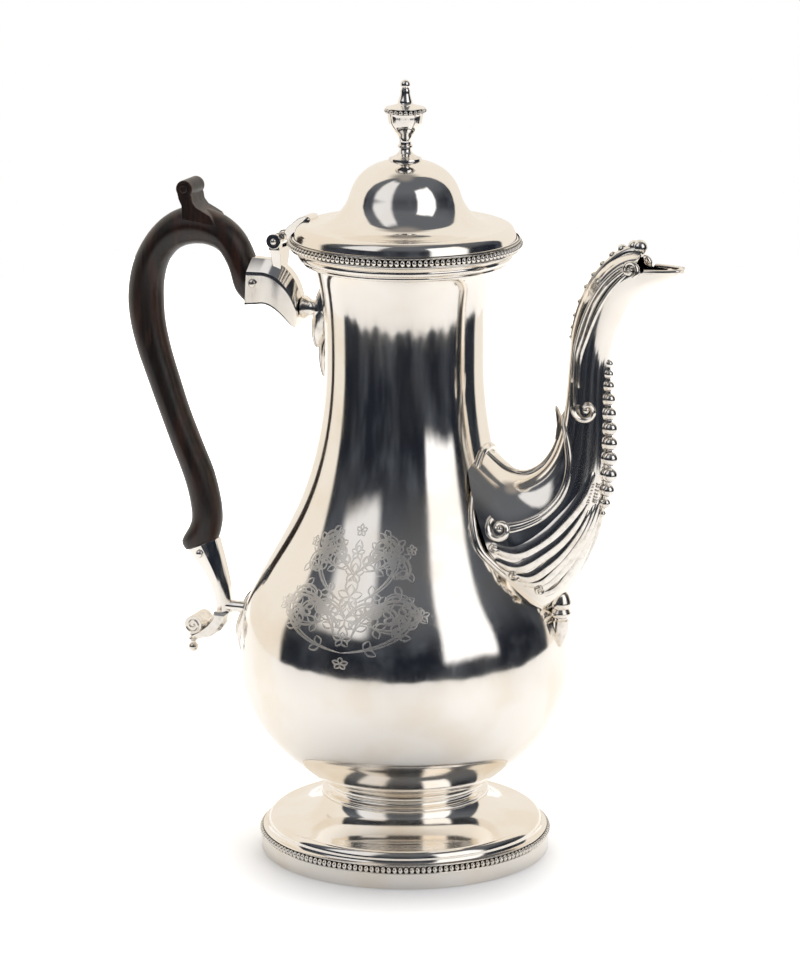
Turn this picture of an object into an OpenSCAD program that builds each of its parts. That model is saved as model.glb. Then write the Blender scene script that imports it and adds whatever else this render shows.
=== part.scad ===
// Silver coffee pot of baluster form, with a hinged domed lid, a swan-neck
// spout and a carved wooden handle held between two silver sockets.
// The origin is the centre of the foot where it stands: +X is the spout,
// -X the handle, +Z up. Everything is in millimetres.

/* [Vessel] */
// Thickness of the raised silver wall
wall = 1.2; // [1:0.1:1.4]
// Radius of the hole in the vessel behind the spout
spout_hole_r = 8; // [6:0.5:9]
// Height of that hole's centre above the table
spout_hole_z = 134; // [131:1:137]

/* [Foot] */
// Outer radius of the plain band that the pot stands on
band_r = 56.6; // [56:0.2:57]
// Height of that band
band_h = 8.5; // [8:0.1:8.6]
// Radius of one bead of the beaded wires
bead_r = 1.1; // [0.9:0.1:1.2]

/* [Lid] */
// Outer radius of the ring under the lid's edge
lid_ring_r = 43.4; // [43:0.1:43.6]
// Outer radius of the bezel that drops inside the neck
bezel_r = 32; // [31:0.2:32.2]
// How far the bezel reaches below the lid's edge
bezel_drop = 8; // [5:0.5:8]
// Gap between the closed lid and the rim of the vessel
lid_gap = 0.3; // [0.2:0.05:0.4]

/* [Hinge] */
// Radius of the hinge knuckles
knuckle_r = 2.6; // [2.4:0.1:2.8]
// Radius of the hinge pin
hinge_pin_r = 1.1; // [1:0.05:1.2]
// Clearance round the pin in the lid's knuckle
hinge_play = 0.05; // [0.02:0.01:0.1]
// Length of the whole hinge barrel
barrel_l = 11.6; // [11:0.2:12]
// Length of the lid's middle knuckle
lid_knuckle_l = 4.2; // [3.6:0.2:4.8]

/* [Handle] */
// Half the width of the wooden handle across its flat sides
grip_half_w = 7; // [6.5:0.1:7.4]
// Radius of the pins through the silver sockets
handle_pin_r = 1.4; // [1.2:0.1:1.6]

/* [Hidden] */

round_fn = 96;
small_fn = 48;

silver = "silver";
worn_silver = "lightgray";
dark_wood = "#3a2418";

// Stations of the vessel's outer curve: height, radius, slope of radius
vessel_stations = [
    [28, 31.8, 1.35], [44, 50.8, 0.96], [60, 61, 0.38], [78, 64.5, 0], [98, 62.2, -0.27],
    [118, 52.6, -0.58], [140, 41.2, -0.42], [160, 34.8, -0.23], [195, 31, 0],
    [228, 33.6, 0.22], [235, 36.6, 0.75], [239.2, 40, 0.7]
];
vessel_bottom_z = 25.5;
rim_top_z = 239.2;
// Seams of the vessel: each is the height of a point of its curve
bowl_top_z = 78;
shoulder_top_z = 148;

// Rounded shoulder of the lid's edge, and points of the flare and dome above it
lid_shoulder_r = 4;
lid_shoulder_at = [38.6, 245.1];
dome_top_z = 274.4;
lid_flare = [
    [36.4, 248.95], [33.6, 249.2], [30.4, 250], [27.5, 251.6], [24.6, 254.6], [22.7, 257.4],
    [21.6, 260], [20.7, 262.6], [19.5, 265.2], [17.6, 267.9], [14.9, 270.4], [11.6, 272.3],
    [8.8, 273.3], [6, 274], [3.2, 274.3], [0, dome_top_z]
];
lid_ring_z = rim_top_z + lid_gap;
lid_ring_top_z = 243.2;

foot_top_z = 22.8;
foot_top_r = 33;
foot_shoulder_r = 3;
foot_shoulder_at = [50.9, 11];
stem_waist_r = 30;
stem_waist_z = 25.9;

hinge_x = -52.4;
hinge_z = 239.9;
leaf_half_w = 4.4;

stud_r = 1.2;
plate_t = 1.2;

// Value at t of the cubic from a to b with end slopes sa and sb over a span
function cubic(a, b, sa, sb, span, t) =
    (2*t*t*t - 3*t*t + 1)*a + (t*t*t - 2*t*t + t)*span*sa
    + (3*t*t - 2*t*t*t)*b + (t*t*t - t*t)*span*sb;

// Points [u, v] along a list of stations [u, v, slope], steps to a span
function curve_points(stations, steps) = concat(
    [for (i = [0 : len(stations) - 2]) for (k = [0 : steps - 1])
        let (a = stations[i], b = stations[i + 1], span = b[0] - a[0], t = k/steps)
        [a[0] + t*span, cubic(a[1], b[1], a[2], b[2], span, t)]],
    [[stations[len(stations) - 1][0], stations[len(stations) - 1][1]]]);

function reversed(list) = [for (i = [len(list) - 1 : -1 : 0]) list[i]];

// Points of an arc about c, from angle a0 to a1
function arc_points(c, r, a0, a1, steps) =
    [for (k = [0 : steps]) let (a = a0 + (a1 - a0)*k/steps) [c[0] + r*cos(a), c[1] + r*sin(a)]];

// Outer curve of the vessel as [radius, height]
function vessel_curve(grow) =
    [for (p = curve_points(vessel_stations, 5)) [p[1] + grow, p[0]]];

// The vessel as a solid, grown sideways by a given amount
module vessel_solid(grow = 0) {
    rotate_extrude($fn = round_fn)
        polygon(concat([[0, rim_top_z], [0, vessel_bottom_z - grow]],
                       [[22, vessel_bottom_z + 0.4 - grow]], vessel_curve(grow)));
}

// Inner curve of the vessel, upwards
function inner_curve() = [for (p = vessel_curve(-wall)) [p[0], p[1] + (p[1] < 50 ? wall*0.7 : 0)]];

// Points of a curve between two heights
function between(curve, z0, z1) = [for (p = curve) if (p[1] >= z0 - 0.01 && p[1] <= z1 + 0.01) p];

// One raised section of the vessel's wall
module vessel_section(z0, z1) {
    rotate_extrude($fn = round_fn)
        polygon(concat(between(vessel_curve(0), z0, z1),
                       reversed(between(inner_curve(), z0, z1))));
}

module vessel_bowl() {
    color(silver) rotate_extrude($fn = round_fn)
        polygon(concat([[0, vessel_bottom_z], [22, vessel_bottom_z + 0.4]],
                       between(vessel_curve(0), 0, bowl_top_z),
                       reversed(between(inner_curve(), 0, bowl_top_z)),
                       [[22, vessel_bottom_z + 0.4 + wall], [0, vessel_bottom_z + wall]]));
}

module vessel_shoulder() {
    color(silver) difference() {
        vessel_section(bowl_top_z, shoulder_top_z);
        translate([20, 0, spout_hole_z]) rotate([0, 90, 0])
            cylinder(r = spout_hole_r, h = 40, $fn = small_fn);
    }
}

module vessel_neck() {
    color(silver) vessel_section(shoulder_top_z, rim_top_z);
}

// Moulded wire soldered round the mouth
module rim_wire() {
    color(silver) difference() {
        rotate_extrude($fn = round_fn)
            polygon(concat([[34, 233.6], [37.6, 233.6]],
                           arc_points([38.6, 235], 0.9, -60, 60, 4),
                           arc_points([39.9, 237.4], 1.5, -60, 50, 6),
                           [[40.6, rim_top_z], [36, rim_top_z]]));
        vessel_solid();
    }
}

// Waisted collar that joins the vessel to the foot
module stem_collar() {
    outer = concat([[foot_top_r - 0.3, foot_top_z]],
                   arc_points([32.1, foot_top_z + 0.8], 0.8, -30, 60, 4),
                   [[31.2, 24.6], [30.3, 25.2], [stem_waist_r, stem_waist_z], [30.3, 26.5],
                    [30.8, 26.9]],
                   arc_points([31, 28], 1.1, -70, 80, 6));
    color(silver) difference() {
        rotate_extrude($fn = round_fn)
            polygon(concat(outer, [[28.6, 29.2], [28.6, foot_top_z]]));
        vessel_solid();
    }
}

// Bell of the foot: edge, rounded shoulder, hollow curve and top
foot_bell = [
    [49, 14.2], [45.5, 14.7], [41.5, 15.8], [38, 17.4], [35.6, 19.2], [34, 21],
    [foot_top_r, foot_top_z]
];

module foot_dome() {
    color(silver) rotate_extrude($fn = round_fn)
        polygon(concat(
            [[51, band_h], [band_r - 0.2, band_h], [band_r - 0.2, band_h + 0.5],
             [55.6, 9.3], [54.4, 9.7]],
            arc_points(foot_shoulder_at, foot_shoulder_r, -8, 80, 6), foot_bell,
            [[28.6, foot_top_z], [28.6, foot_top_z - 1]],
            reversed([for (p = foot_bell) if (p[1] < foot_top_z - 1)
                [p[0] - wall*0.9, p[1] - wall*0.9]])));
}

module foot_band() {
    color(silver) rotate_extrude($fn = round_fn)
        polygon([[band_r - 1.6, 0], [band_r - 0.2, 0], [band_r, 0.3], [band_r, band_h],
                 [band_r - 1.6, band_h]]);
}

// Half-round wire with its flat side on a band of radius r
module half_round_wire(r, z, bulge) {
    rotate_extrude($fn = round_fn)
        polygon(concat([[r, z - bead_r]],
                       arc_points([r + bulge, z], bead_r, -75, 75, 8), [[r, z + bead_r]]));
}

module foot_bead_wire() {
    color(worn_silver) half_round_wire(band_r, band_h - bead_r, 0.5);
}

// --- lofted bars ---------------------------------------------------------

// Point i of a list with the ends repeated
function held(list, i) = list[max(0, min(len(list) - 1, i))];

// Smooth curve through a list of points or numbers
function through(p0, p1, p2, p3, t) =
    0.5*(2*p1 + (p2 - p0)*t + (2*p0 - 5*p1 + 4*p2 - p3)*t*t + (3*p1 - p0 - 3*p2 + p3)*t*t*t);

// Adds steps - 1 sections between each two: a section is [point on the right-hand side of the
// way along the bar, point on its left, half width]
function finer(sections, steps) = concat(
    [for (i = [0 : len(sections) - 2]) for (k = [0 : steps - 1]) let (t = k/steps)
        [for (j = [0 : 2]) through(held(sections, i - 1)[j], sections[i][j],
                                   sections[i + 1][j], held(sections, i + 2)[j], t)]],
    [sections[len(sections) - 1]]);

// Ring of points round one section, in the plane through its two points and Y
function section_ring(s, sides, inset) =
    let (mid = (s[0] + s[1])/2, half = (s[0] - s[1])/2, k = (norm(half) - inset)/norm(half))
    [for (i = [0 : sides - 1]) let (a = 360*(i + 0.5)/sides)
        [mid[0] + half[0]*k*cos(a), (s[2] - inset)*sin(a), mid[1] + half[1]*k*cos(a)]];

// Solid through a list of sections
module loft(sections, sides, inset = 0) {
    rings = [for (s = sections) section_ring(s, sides, inset)];
    n = len(rings);
    polyhedron(
        points = [for (r = rings) for (p = r) p],
        faces = concat(
            [[for (i = [0 : sides - 1]) i]],
            [for (j = [0 : n - 2]) for (i = [0 : sides - 1]) let (m = (i + 1) % sides)
                [j*sides + i, (j + 1)*sides + i, (j + 1)*sides + m]],
            [for (j = [0 : n - 2]) for (i = [0 : sides - 1]) let (m = (i + 1) % sides)
                [j*sides + i, (j + 1)*sides + m, j*sides + m]],
            [[for (i = [sides - 1 : -1 : 0]) (n - 1)*sides + i]]));
}

// An outline in the XZ plane, given a thickness across it
module upright(thickness) {
    rotate([90, 0, 0]) linear_extrude(height = thickness, center = true) children();
}

// --- spout ---------------------------------------------------------------

// Sections of the spout from inside the vessel to the lip: front, back, half width
spout_sections = [
    [[54, 98], [28, 168], 22.4], [[62.5, 104], [37, 160], 21.6],
    [[68.5, 112.5], [42.5, 156.4], 18.8], [[74.5, 124.5], [49.5, 155.2], 15.2],
    [[79, 137.5], [56, 158.5], 12.2], [[81.2, 150.5], [60.6, 164.5], 10.2],
    [[82.2, 163.5], [63.6, 172.5], 9.2], [[82.4, 176], [65.3, 181], 8.6],
    [[82.2, 188.5], [66.4, 191.5], 8.2], [[82.6, 199.5], [67.2, 202], 7.9],
    [[84.2, 209], [68.2, 212], 7.7], [[86.8, 216.5], [70.4, 221], 7.6],
    [[89.6, 222.8], [74, 229.5], 7.6], [[93, 227.4], [78.8, 236.6], 7.6],
    [[97.6, 230.8], [84.6, 241.8], 7.6], [[103, 233.2], [91, 244.6], 7.4],
    [[108, 235.6], [98, 244.6], 6.6], [[112, 237.6], [106, 243], 4.6]
];
lip_z = 238.4;
spout_wall = 1.4;
spout_sides = 24;

// The passage runs a little past the spout's inner end and stops short of its tip
spout_ends = len(spout_sections) - 1;
passage_sections = concat(
    [spout_sections[0] + 0.2*(spout_sections[0] - spout_sections[1])],
    [for (i = [1 : spout_ends - 1]) spout_sections[i]],
    [spout_sections[spout_ends] + 0.4*(spout_sections[spout_ends - 1] - spout_sections[spout_ends])]);

module spout_outside() {
    loft(finer(spout_sections, 2), spout_sides);
}

module spout_half(side) {
    difference() {
        spout_outside();
        loft(finer(passage_sections, 2), spout_sides, spout_wall);
        translate([95.5, -20, lip_z]) cube([30, 40, 20]);
        translate([0, side > 0 ? -40 : 0, 80]) cube([140, 40, 180]);
        vessel_solid();
    }
}

module spout_near_half() {
    color(silver) spout_half(-1);
}

module spout_far_half() {
    color(silver) spout_half(1);
}

// Graduated beads over the spout's front seam: centre and radius
spout_beads = [
    [[82.8, 200.8], 1.4], [[82.8, 196.8], 1.6], [[82.9, 192.4], 1.8], [[83.1, 187.2], 2],
    [[83.4, 181.6], 2.2], [[83.7, 175.8], 2.4], [[83.8, 170], 2.5], [[83.8, 164], 2.6],
    [[83.6, 157.2], 2.7], [[82.8, 151.2], 2], [[81.8, 146.4], 1.6], [[80.6, 142.8], 1.2]
];

module spout_bead_row() {
    color(worn_silver) difference() {
        union() {
            for (b = spout_beads)
                translate([b[0][0], 0, b[0][1]]) sphere(r = b[1], $fn = 24);
            for (i = [0 : len(spout_beads) - 2])
                let (a = spout_beads[i][0], b = spout_beads[i + 1][0], d = b - a)
                translate([a[0], 0, a[1]]) rotate([0, atan2(d[0], d[1]), 0])
                    cylinder(r = 1.1, h = norm(d), $fn = 24);
        }
        spout_outside();
    }
}

// Knobbed ridge over the spout's back seam: inner point, outer point, half width
crest_sections = [
    [[70, 208], [67, 209], 0.8], [[71, 213], [67.6, 214], 1.8],
    [[73.4, 219], [69.4, 221.5], 2.2], [[77, 227], [73, 230.2], 2.4],
    [[81.4, 233.4], [77.6, 237.4], 2.6], [[86.6, 239], [83.4, 243.3], 2.9],
    [[91, 242], [89, 246.8], 3.2], [[93.4, 242.4], [93.4, 247.4], 3.2],
    [[95.4, 242.6], [96.2, 246.4], 2.4]
];

module spout_crest() {
    color(worn_silver) difference() {
        loft(finer(crest_sections, 2), 12);
        spout_outside();
    }
}

// Turned drop under the foot of the spout
module spout_drop() {
    color(worn_silver) difference() {
        translate([64.2, 0, 0]) rotate_extrude($fn = small_fn)
            polygon([[0, 87.4], [0.5, 87.6], [2.9, 93.2], [3.2, 93.6], [3.4, 95.6], [3.4, 98.4],
                     [2.6, 98.8], [2.6, 99.4], [4, 100.2], [4.3, 101.2], [3.6, 102.2],
                     [3.4, 103], [4.2, 104.2], [4.2, 106], [0, 112]]);
        vessel_solid();
        spout_outside();
    }
}

// --- upper socket, hinge bracket and hinge -------------------------------

socket_half_w = 6.6;
tenon = [8, 8, 9];
upper_mouth_top = [-63, 232.4];
upper_mouth_foot = [-65.6, 213.8];
upper_pin = [-61.2, 223];
upper_strut_z = 213.8;
socket_end_x = -42.2;

module upper_socket_outline() {
    polygon(concat(
        [upper_mouth_foot, [-60, 214.4]], arc_points([-59.6, 202.2], 12.8, 82, 32, 6),
        [[-46.8, 207.1], [-45, 207.5], [-42.9, 209.6], [socket_end_x, 212.4], [socket_end_x, 217.6]],
        arc_points([-56.4, 218.4], 14, 0, 86, 8), [upper_mouth_top]));
}

module upper_socket_solid() {
    upright(2*socket_half_w) upper_socket_outline();
}

// Square tongue of the handle inside the upper socket
module upper_tenon() {
    translate([-65, -tenon[1]/2, upper_pin[1] - tenon[2]/2]) cube(tenon);
}

module upper_socket() {
    color(silver) difference() {
        upper_socket_solid();
        upper_tenon();
        translate([upper_pin[0], 0, upper_pin[1]]) rotate([90, 0, 0])
            cylinder(r = handle_pin_r, h = 30, center = true, $fn = small_fn);
    }
}

module handle_pin(at, half_l) {
    translate([at[0], 0, at[1]]) rotate([90, 0, 0]) {
        cylinder(r = handle_pin_r, h = 2*half_l, center = true, $fn = small_fn);
    }
}

module upper_handle_pin() {
    color(worn_silver) handle_pin(upper_pin, socket_half_w + 0.3);
}

// Turned strut between a socket and the plate on the vessel
module strut(from_x, z) {
    translate([from_x, 0, z]) rotate([0, 90, 0])
        rotate_extrude($fn = small_fn)
            polygon([[0, 0], [4.6, 0], [4.8, 0.8], [4.2, 1.8], [3.4, 2.8], [3.2, 4.4], [3.8, 5.8],
                     [4.4, 6.6], [4.4, 16], [0, 16]]);
}

module upper_strut() {
    color(worn_silver) difference() {
        strut(socket_end_x, upper_strut_z);
        vessel_solid(plate_t);
    }
}

// A leaf cut from the skin round the vessel
module vessel_leaf() {
    color(worn_silver) intersection() {
        difference() {
            vessel_solid(plate_t);
            vessel_solid();
        }
        translate([-80, 0, 0]) rotate([90, 0, 90]) linear_extrude(height = 80) children();
    }
}

// Thick curled leaf that stands out from the vessel behind a strut
module raised_leaf() {
    color(worn_silver) difference() {
        upright(7) children();
        vessel_solid();
    }
}

module upper_plate() {
    difference() {
        raised_leaf() polygon([
            [-30, 223], [-34.6, 221.6], [-36.6, 218], [-38.2, 209], [-38.4, 202], [-37.9, 199],
            [-37, 198.2], [-36, 199.4], [-35.6, 201.4], [-35.4, 194], [-34.9, 188],
            [-34, 186.8], [-33.2, 187.8], [-30, 190]]);
        strut(socket_end_x, upper_strut_z);
    }
    vessel_leaf() polygon([
        [0, 224], [3, 221.5], [5.4, 221], [6.6, 217.5], [6, 214], [6.8, 210.5], [5.4, 206],
        [5.8, 202], [3.6, 198.5], [2.6, 193], [0, 186],
        [-2.6, 193], [-3.6, 198.5], [-5.8, 202], [-5.4, 206], [-6.8, 210.5], [-6, 214],
        [-6.6, 217.5], [-5.4, 221], [-3, 221.5]]);
}

// One stretch of the hinge barrel, from y0 to y1
module knuckle(y0, y1) {
    translate([hinge_x, y1, hinge_z]) rotate([90, 0, 0])
        cylinder(r = knuckle_r, h = y1 - y0, $fn = small_fn);
}

module hinge_bracket() {
    inner_y = lid_knuckle_l/2 + 0.15;
    outer_y = barrel_l/2;
    color(silver) difference() {
        union() {
            for (s = [-1, 1]) {
                knuckle(s > 0 ? inner_y : -outer_y, s > 0 ? outer_y : -inner_y);
                translate([hinge_x - 1.1, s > 0 ? inner_y : -outer_y, 233.4])
                    cube([3.8, outer_y - inner_y, hinge_z - 233.4]);
            }
            translate([hinge_x - 1.1, -outer_y, 224]) cube([3.8, barrel_l, 12.4]);
        }
        upper_socket_solid();
        translate([hinge_x, 0, hinge_z]) rotate([90, 0, 0])
            cylinder(r = hinge_pin_r, h = 30, center = true, $fn = small_fn);
        translate([hinge_x, 0, hinge_z]) rotate([90, 0, 0])
            cylinder(r = knuckle_r + 0.5, h = 2*inner_y, center = true, $fn = small_fn);
    }
}

module hinge_pin() {
    color(worn_silver) translate([hinge_x, 0, hinge_z]) rotate([90, 0, 0])
        cylinder(r = hinge_pin_r, h = barrel_l + 0.6, center = true, $fn = small_fn);
}

// --- handle --------------------------------------------------------------

lower_pin = [-85.4, 112];
lower_mouth_back = [-91.4, 112.6];
lower_mouth_front = [-79.4, 118];
lower_tilt = atan2(lower_mouth_front[1] - lower_mouth_back[1],
                   lower_mouth_front[0] - lower_mouth_back[0]);

// Sections of the grip from the upper socket round to the lower: outside, inside, half width
grip_sections = [
    [upper_mouth_top, upper_mouth_foot, 6.6], [[-65.4, 238], [-70, 218.4], 6.9],
    [[-69.4, 243.2], [-72.4, 226.6], grip_half_w], [[-74.4, 247], [-76.4, 233.4], grip_half_w],
    [[-80.4, 249.6], [-81.6, 235.8], grip_half_w], [[-87.4, 250.6], [-87.2, 236], grip_half_w],
    [[-95, 249.2], [-92.8, 234.6], grip_half_w], [[-102.2, 244.8], [-97.2, 231.4], grip_half_w],
    [[-108.8, 237.4], [-100.4, 226.2], grip_half_w], [[-113.8, 227.8], [-102, 219.4], grip_half_w],
    [[-116.2, 216.4], [-102.2, 211.8], grip_half_w], [[-115.8, 205.4], [-101.6, 203.2], grip_half_w],
    [[-113, 193.6], [-99.4, 193], grip_half_w], [[-108.4, 181], [-96, 182], 6.9],
    [[-103, 167], [-91.6, 168.8], 6.8], [[-97.8, 153.6], [-86.2, 155.8], 6.7],
    [[-93.2, 142], [-81.4, 144.6], 6.6], [[-90.6, 132], [-78.6, 133.8], 6.4],
    [[-90.4, 124], [-77.8, 126.2], 6.2], [[-94.6, 115.9], [-78.4, 121.2], 6],
    [lower_mouth_back - 0.12*(lower_mouth_front - lower_mouth_back), lower_mouth_front, 5.4]
];

// Curled thumb rest on top of the grip
module thumb_scroll() {
    upright(13) polygon(concat(
        [[-79, 246], [-80.6, 249.4], [-84.4, 251.4], [-86.8, 253.8]],
        arc_points([-89.8, 258.2], 3.4, -20, 200, 12), [[-92, 253.6], [-90.6, 250], [-90, 246]]));
}

module lower_tenon() {
    translate([lower_pin[0], 0, lower_pin[1]]) rotate([0, -lower_tilt, 0])
        translate([-2.6, -3.5, -4]) cube([6.6, 7, 9]);
}

module handle() {
    color(dark_wood) difference() {
        union() {
            loft(finer(grip_sections, 2), 16);
            thumb_scroll();
            upper_tenon();
            lower_tenon();
        }
        for (at = [upper_pin, lower_pin])
            translate([at[0], 0, at[1]]) rotate([90, 0, 0])
                cylinder(r = handle_pin_r, h = 30, center = true, $fn = small_fn);
    }
}

// --- lower socket --------------------------------------------------------

lower_half_w = 5.2;
lower_socket_z = 88;
lower_strut_z = 90.6;
scroll_at = [-88.2, 82.8];
scroll_r = 3.6;

module lower_socket_solid() {
    upright(2*lower_half_w) polygon([
        lower_mouth_back, [-86.4, 106.4], [-82.6, 100.4], [-80.4, 94.6], [-79.8, lower_socket_z],
        [-74, lower_socket_z], [-73.4, 92], [-74, 97], [-75.4, 104], [-77.4, 111.6],
        lower_mouth_front]);
}

module lower_socket() {
    color(silver) difference() {
        lower_socket_solid();
        lower_tenon();
        translate([lower_pin[0], 0, lower_pin[1]]) rotate([90, 0, 0])
            cylinder(r = handle_pin_r, h = 30, center = true, $fn = small_fn);
    }
}

module lower_handle_pin() {
    color(worn_silver) handle_pin(lower_pin, lower_half_w + 0.3);
}

module lower_strut() {
    color(worn_silver) difference() {
        translate([-76, 0, lower_strut_z]) rotate([0, 90, 0])
            cylinder(r = 2.4, h = 14, $fn = small_fn);
        vessel_solid(plate_t);
        lower_socket_solid();
    }
}

module lower_plate() {
    difference() {
        raised_leaf() polygon([
            [-58, 99], [-64.6, 97.6], [-67, 95], [-68.6, 91], [-70.6, 86], [-71.9, 80.4],
            [-71.9, 78.8], [-71, 77.8], [-70, 78.6], [-70.8, 75], [-70.6, 73], [-69.8, 72.2],
            [-68.8, 72.8], [-60, 78]]);
        translate([-76, 0, lower_strut_z]) rotate([0, 90, 0])
            cylinder(r = 2.4, h = 14, $fn = small_fn);
    }
    vessel_leaf() polygon([
        [0, 101], [3, 99.4], [5.6, 97.4], [6.6, 93], [5.4, 88.4], [6.4, 84], [4.8, 79.4], [3.4, 76],
        [0, 70], [-3.4, 76], [-4.8, 79.4], [-6.4, 84], [-5.4, 88.4], [-6.6, 93], [-5.6, 97.4],
        [-3, 99.4]]);
}

// Scrolled end below the socket
module terminal_arm() {
    upright(8.4) polygon([
        [-80.4, lower_socket_z], [-81.4, 85.6], [-83.6, 83], [-86.6, 80.6], [-91, 78.2],
        [-90.6, 77], [-87, 76.4], [-82, 77.6], [-77.6, 80.8], [-74.8, 84.6],
        [-74.2, lower_socket_z]]);
}

module scroll_roll() {
    translate([scroll_at[0], 0, scroll_at[1]]) rotate([90, 0, 0])
        cylinder(r = scroll_r, h = 12, center = true, $fn = small_fn);
}

module terminal_scroll() {
    color(silver) {
        terminal_arm();
        scroll_roll();
    }
}

module terminal_drop() {
    color(worn_silver) difference() {
        translate([-90.6, 0, 0]) rotate_extrude($fn = small_fn)
            polygon(concat([[0, 80], [0, 70]], arc_points([0, 72.1], 2.1, -85, 55, 8),
                           [[1.1, 74.6], [1.9, 75.2], [1.9, 75.8], [1.2, 80]]));
        terminal_arm();
        scroll_roll();
    }
}

// --- lid -----------------------------------------------------------------

// Outer curve of the lid as [radius, height], edge to crown
function lid_curve(grow) = [for (p = concat(
    [[43.6, 244], [42.9, 244.3]], arc_points(lid_shoulder_at, lid_shoulder_r, 5, 80, 6),
    lid_flare))
    [max(0, p[0] + (p[1] > 250 ? grow : grow*0.3)), p[1] + grow*(p[1] > 262 ? 1 : p[1] > 250 ? 0.3 : 1)]];

module lid_solid(grow = 0) {
    rotate_extrude($fn = round_fn)
        polygon(concat([[0, lid_ring_top_z + min(0, grow)*20]],
                       [[43.6 + 0.3*grow, lid_ring_top_z + min(0, grow)*20]], lid_curve(grow)));
}

module lid_cover() {
    color(silver) difference() {
        lid_solid();
        rotate_extrude($fn = round_fn)
            polygon(concat([[0, lid_ring_top_z - 1], [39.4, lid_ring_top_z - 1]],
                           [for (p = lid_curve(-wall)) if (p[0] < 39.4) [p[0], p[1]]]));
        cylinder(r = stud_r + 0.1, h = 300, $fn = small_fn);
    }
}

// Ring under the lid's edge, which closes on the vessel's rim
module lid_edge_ring() {
    color(silver) rotate_extrude($fn = round_fn)
        polygon([[39.4, lid_ring_z + 0.4], [39.8, lid_ring_z], [42.6, lid_ring_z],
                 [lid_ring_r, lid_ring_z + 0.8], [lid_ring_r, lid_ring_top_z],
                 [39.4, lid_ring_top_z]]);
}

module lid_bead_wire() {
    color(worn_silver) difference() {
        half_round_wire(lid_ring_r, lid_ring_top_z - bead_r, 1.1);
        translate([-50, -leaf_half_w, 230]) cube([10, 2*leaf_half_w, 20]);
    }
}

// Bezel that keeps the lid centred in the neck
module lid_bezel() {
    color(silver) intersection() {
        difference() {
            translate([0, 0, lid_ring_z - bezel_drop])
                cylinder(r = bezel_r, h = 20, $fn = round_fn);
            translate([0, 0, lid_ring_z - bezel_drop - 1])
                cylinder(r = bezel_r - 1, h = 30, $fn = round_fn);
        }
        rotate_extrude($fn = round_fn)
            polygon(concat([[0, 225], [39.4, 225]],
                           [for (p = lid_curve(-wall)) if (p[0] < 39.4) p]));
    }
}

module lid_hinge_leaf() {
    color(silver) difference() {
        union() {
            knuckle(-lid_knuckle_l/2, lid_knuckle_l/2);
            translate([hinge_x, -lid_knuckle_l/2, hinge_z])
                cube([4, lid_knuckle_l, knuckle_r]);
            upright(2*leaf_half_w) polygon([
                [-49.2, 240.4], [-49.2, 242.9], [-46.6, 246], [-44, 248.4], [-41.6, 249.9],
                [-39.6, 250.3], [-38.4, 250], [-38, 249.2], [-39.4, 246], [-42, 240.6]]);
        }
        translate([hinge_x, 0, hinge_z]) rotate([90, 0, 0])
            cylinder(r = hinge_pin_r + hinge_play, h = 30, center = true, $fn = small_fn);
        cylinder(r = lid_ring_r, h = lid_ring_top_z, $fn = round_fn);
        lid_solid();
    }
}

// --- finial --------------------------------------------------------------

finial_foot_z = 273.4;
urn_z = 280;
urn_top_z = 292.2;

module finial_foot() {
    color(worn_silver) difference() {
        rotate_extrude($fn = small_fn)
            polygon([[0, 270], [6.1, 270], [6.3, 273.8], [6.3, 274.8], [5.7, 275.2], [4.4, 275.8],
                     [2.9, 276.8], [2.2, 277.9], [2.1, 278.8], [2.7, 279.2], [2.7, urn_z], [0, urn_z]]);
        lid_solid();
        cylinder(r = stud_r, h = 300, $fn = small_fn);
    }
}

module finial_urn() {
    color(silver) difference() {
        rotate_extrude($fn = small_fn)
            polygon([[0, urn_z], [2.2, urn_z], [2.3, 281.4], [3.4, 283.6], [4.9, 285.6], [6, 287.6],
                     [6.5, 289.6], [6.8, 291.4], [7, urn_top_z], [0, urn_top_z]]);
        cylinder(r = stud_r, h = 286, $fn = small_fn);
    }
}

module finial_bead_ring() {
    color(worn_silver) rotate_extrude($fn = small_fn)
        polygon(concat([[0, urn_top_z]], arc_points([7.2, urn_top_z + 0.9], 0.9, -85, 85, 8),
                       [[0, urn_top_z + 1.8]]));
}

module finial_cap() {
    cap_z = urn_top_z + 1.8;
    color(silver) rotate_extrude($fn = small_fn)
        polygon(concat(
            [[0, cap_z], [7.6, cap_z], [7.6, cap_z + 0.3], [5.4, cap_z + 1], [3.2, 295.7],
             [2.7, 296.2], [2.7, 296.8], [2.3, 298], [1.9, 299.6], [1.9, 300.8], [1.6, 301.4],
             [1.6, 302.2]],
            arc_points([0, 303.1], 1.9, -25, 90, 6)));
}

module finial_stud() {
    color(worn_silver) translate([0, 0, 267.6]) cylinder(r = stud_r, h = 286 - 267.6, $fn = small_fn);
}

module finial_washer() {
    color(worn_silver) translate([0, 0, dome_top_z - wall - 1.5]) difference() {
        cylinder(r = 4.2, h = 1, $fn = small_fn);
        translate([0, 0, -1]) cylinder(r = stud_r + 0.1, h = 3, $fn = small_fn);
    }
}

module finial_nut() {
    color(worn_silver) translate([0, 0, dome_top_z - wall - 3.9]) difference() {
        cylinder(r = 3.4, h = 2.4, $fn = 6);
        translate([0, 0, -1]) cylinder(r = stud_r, h = 5, $fn = small_fn);
    }
}

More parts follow.
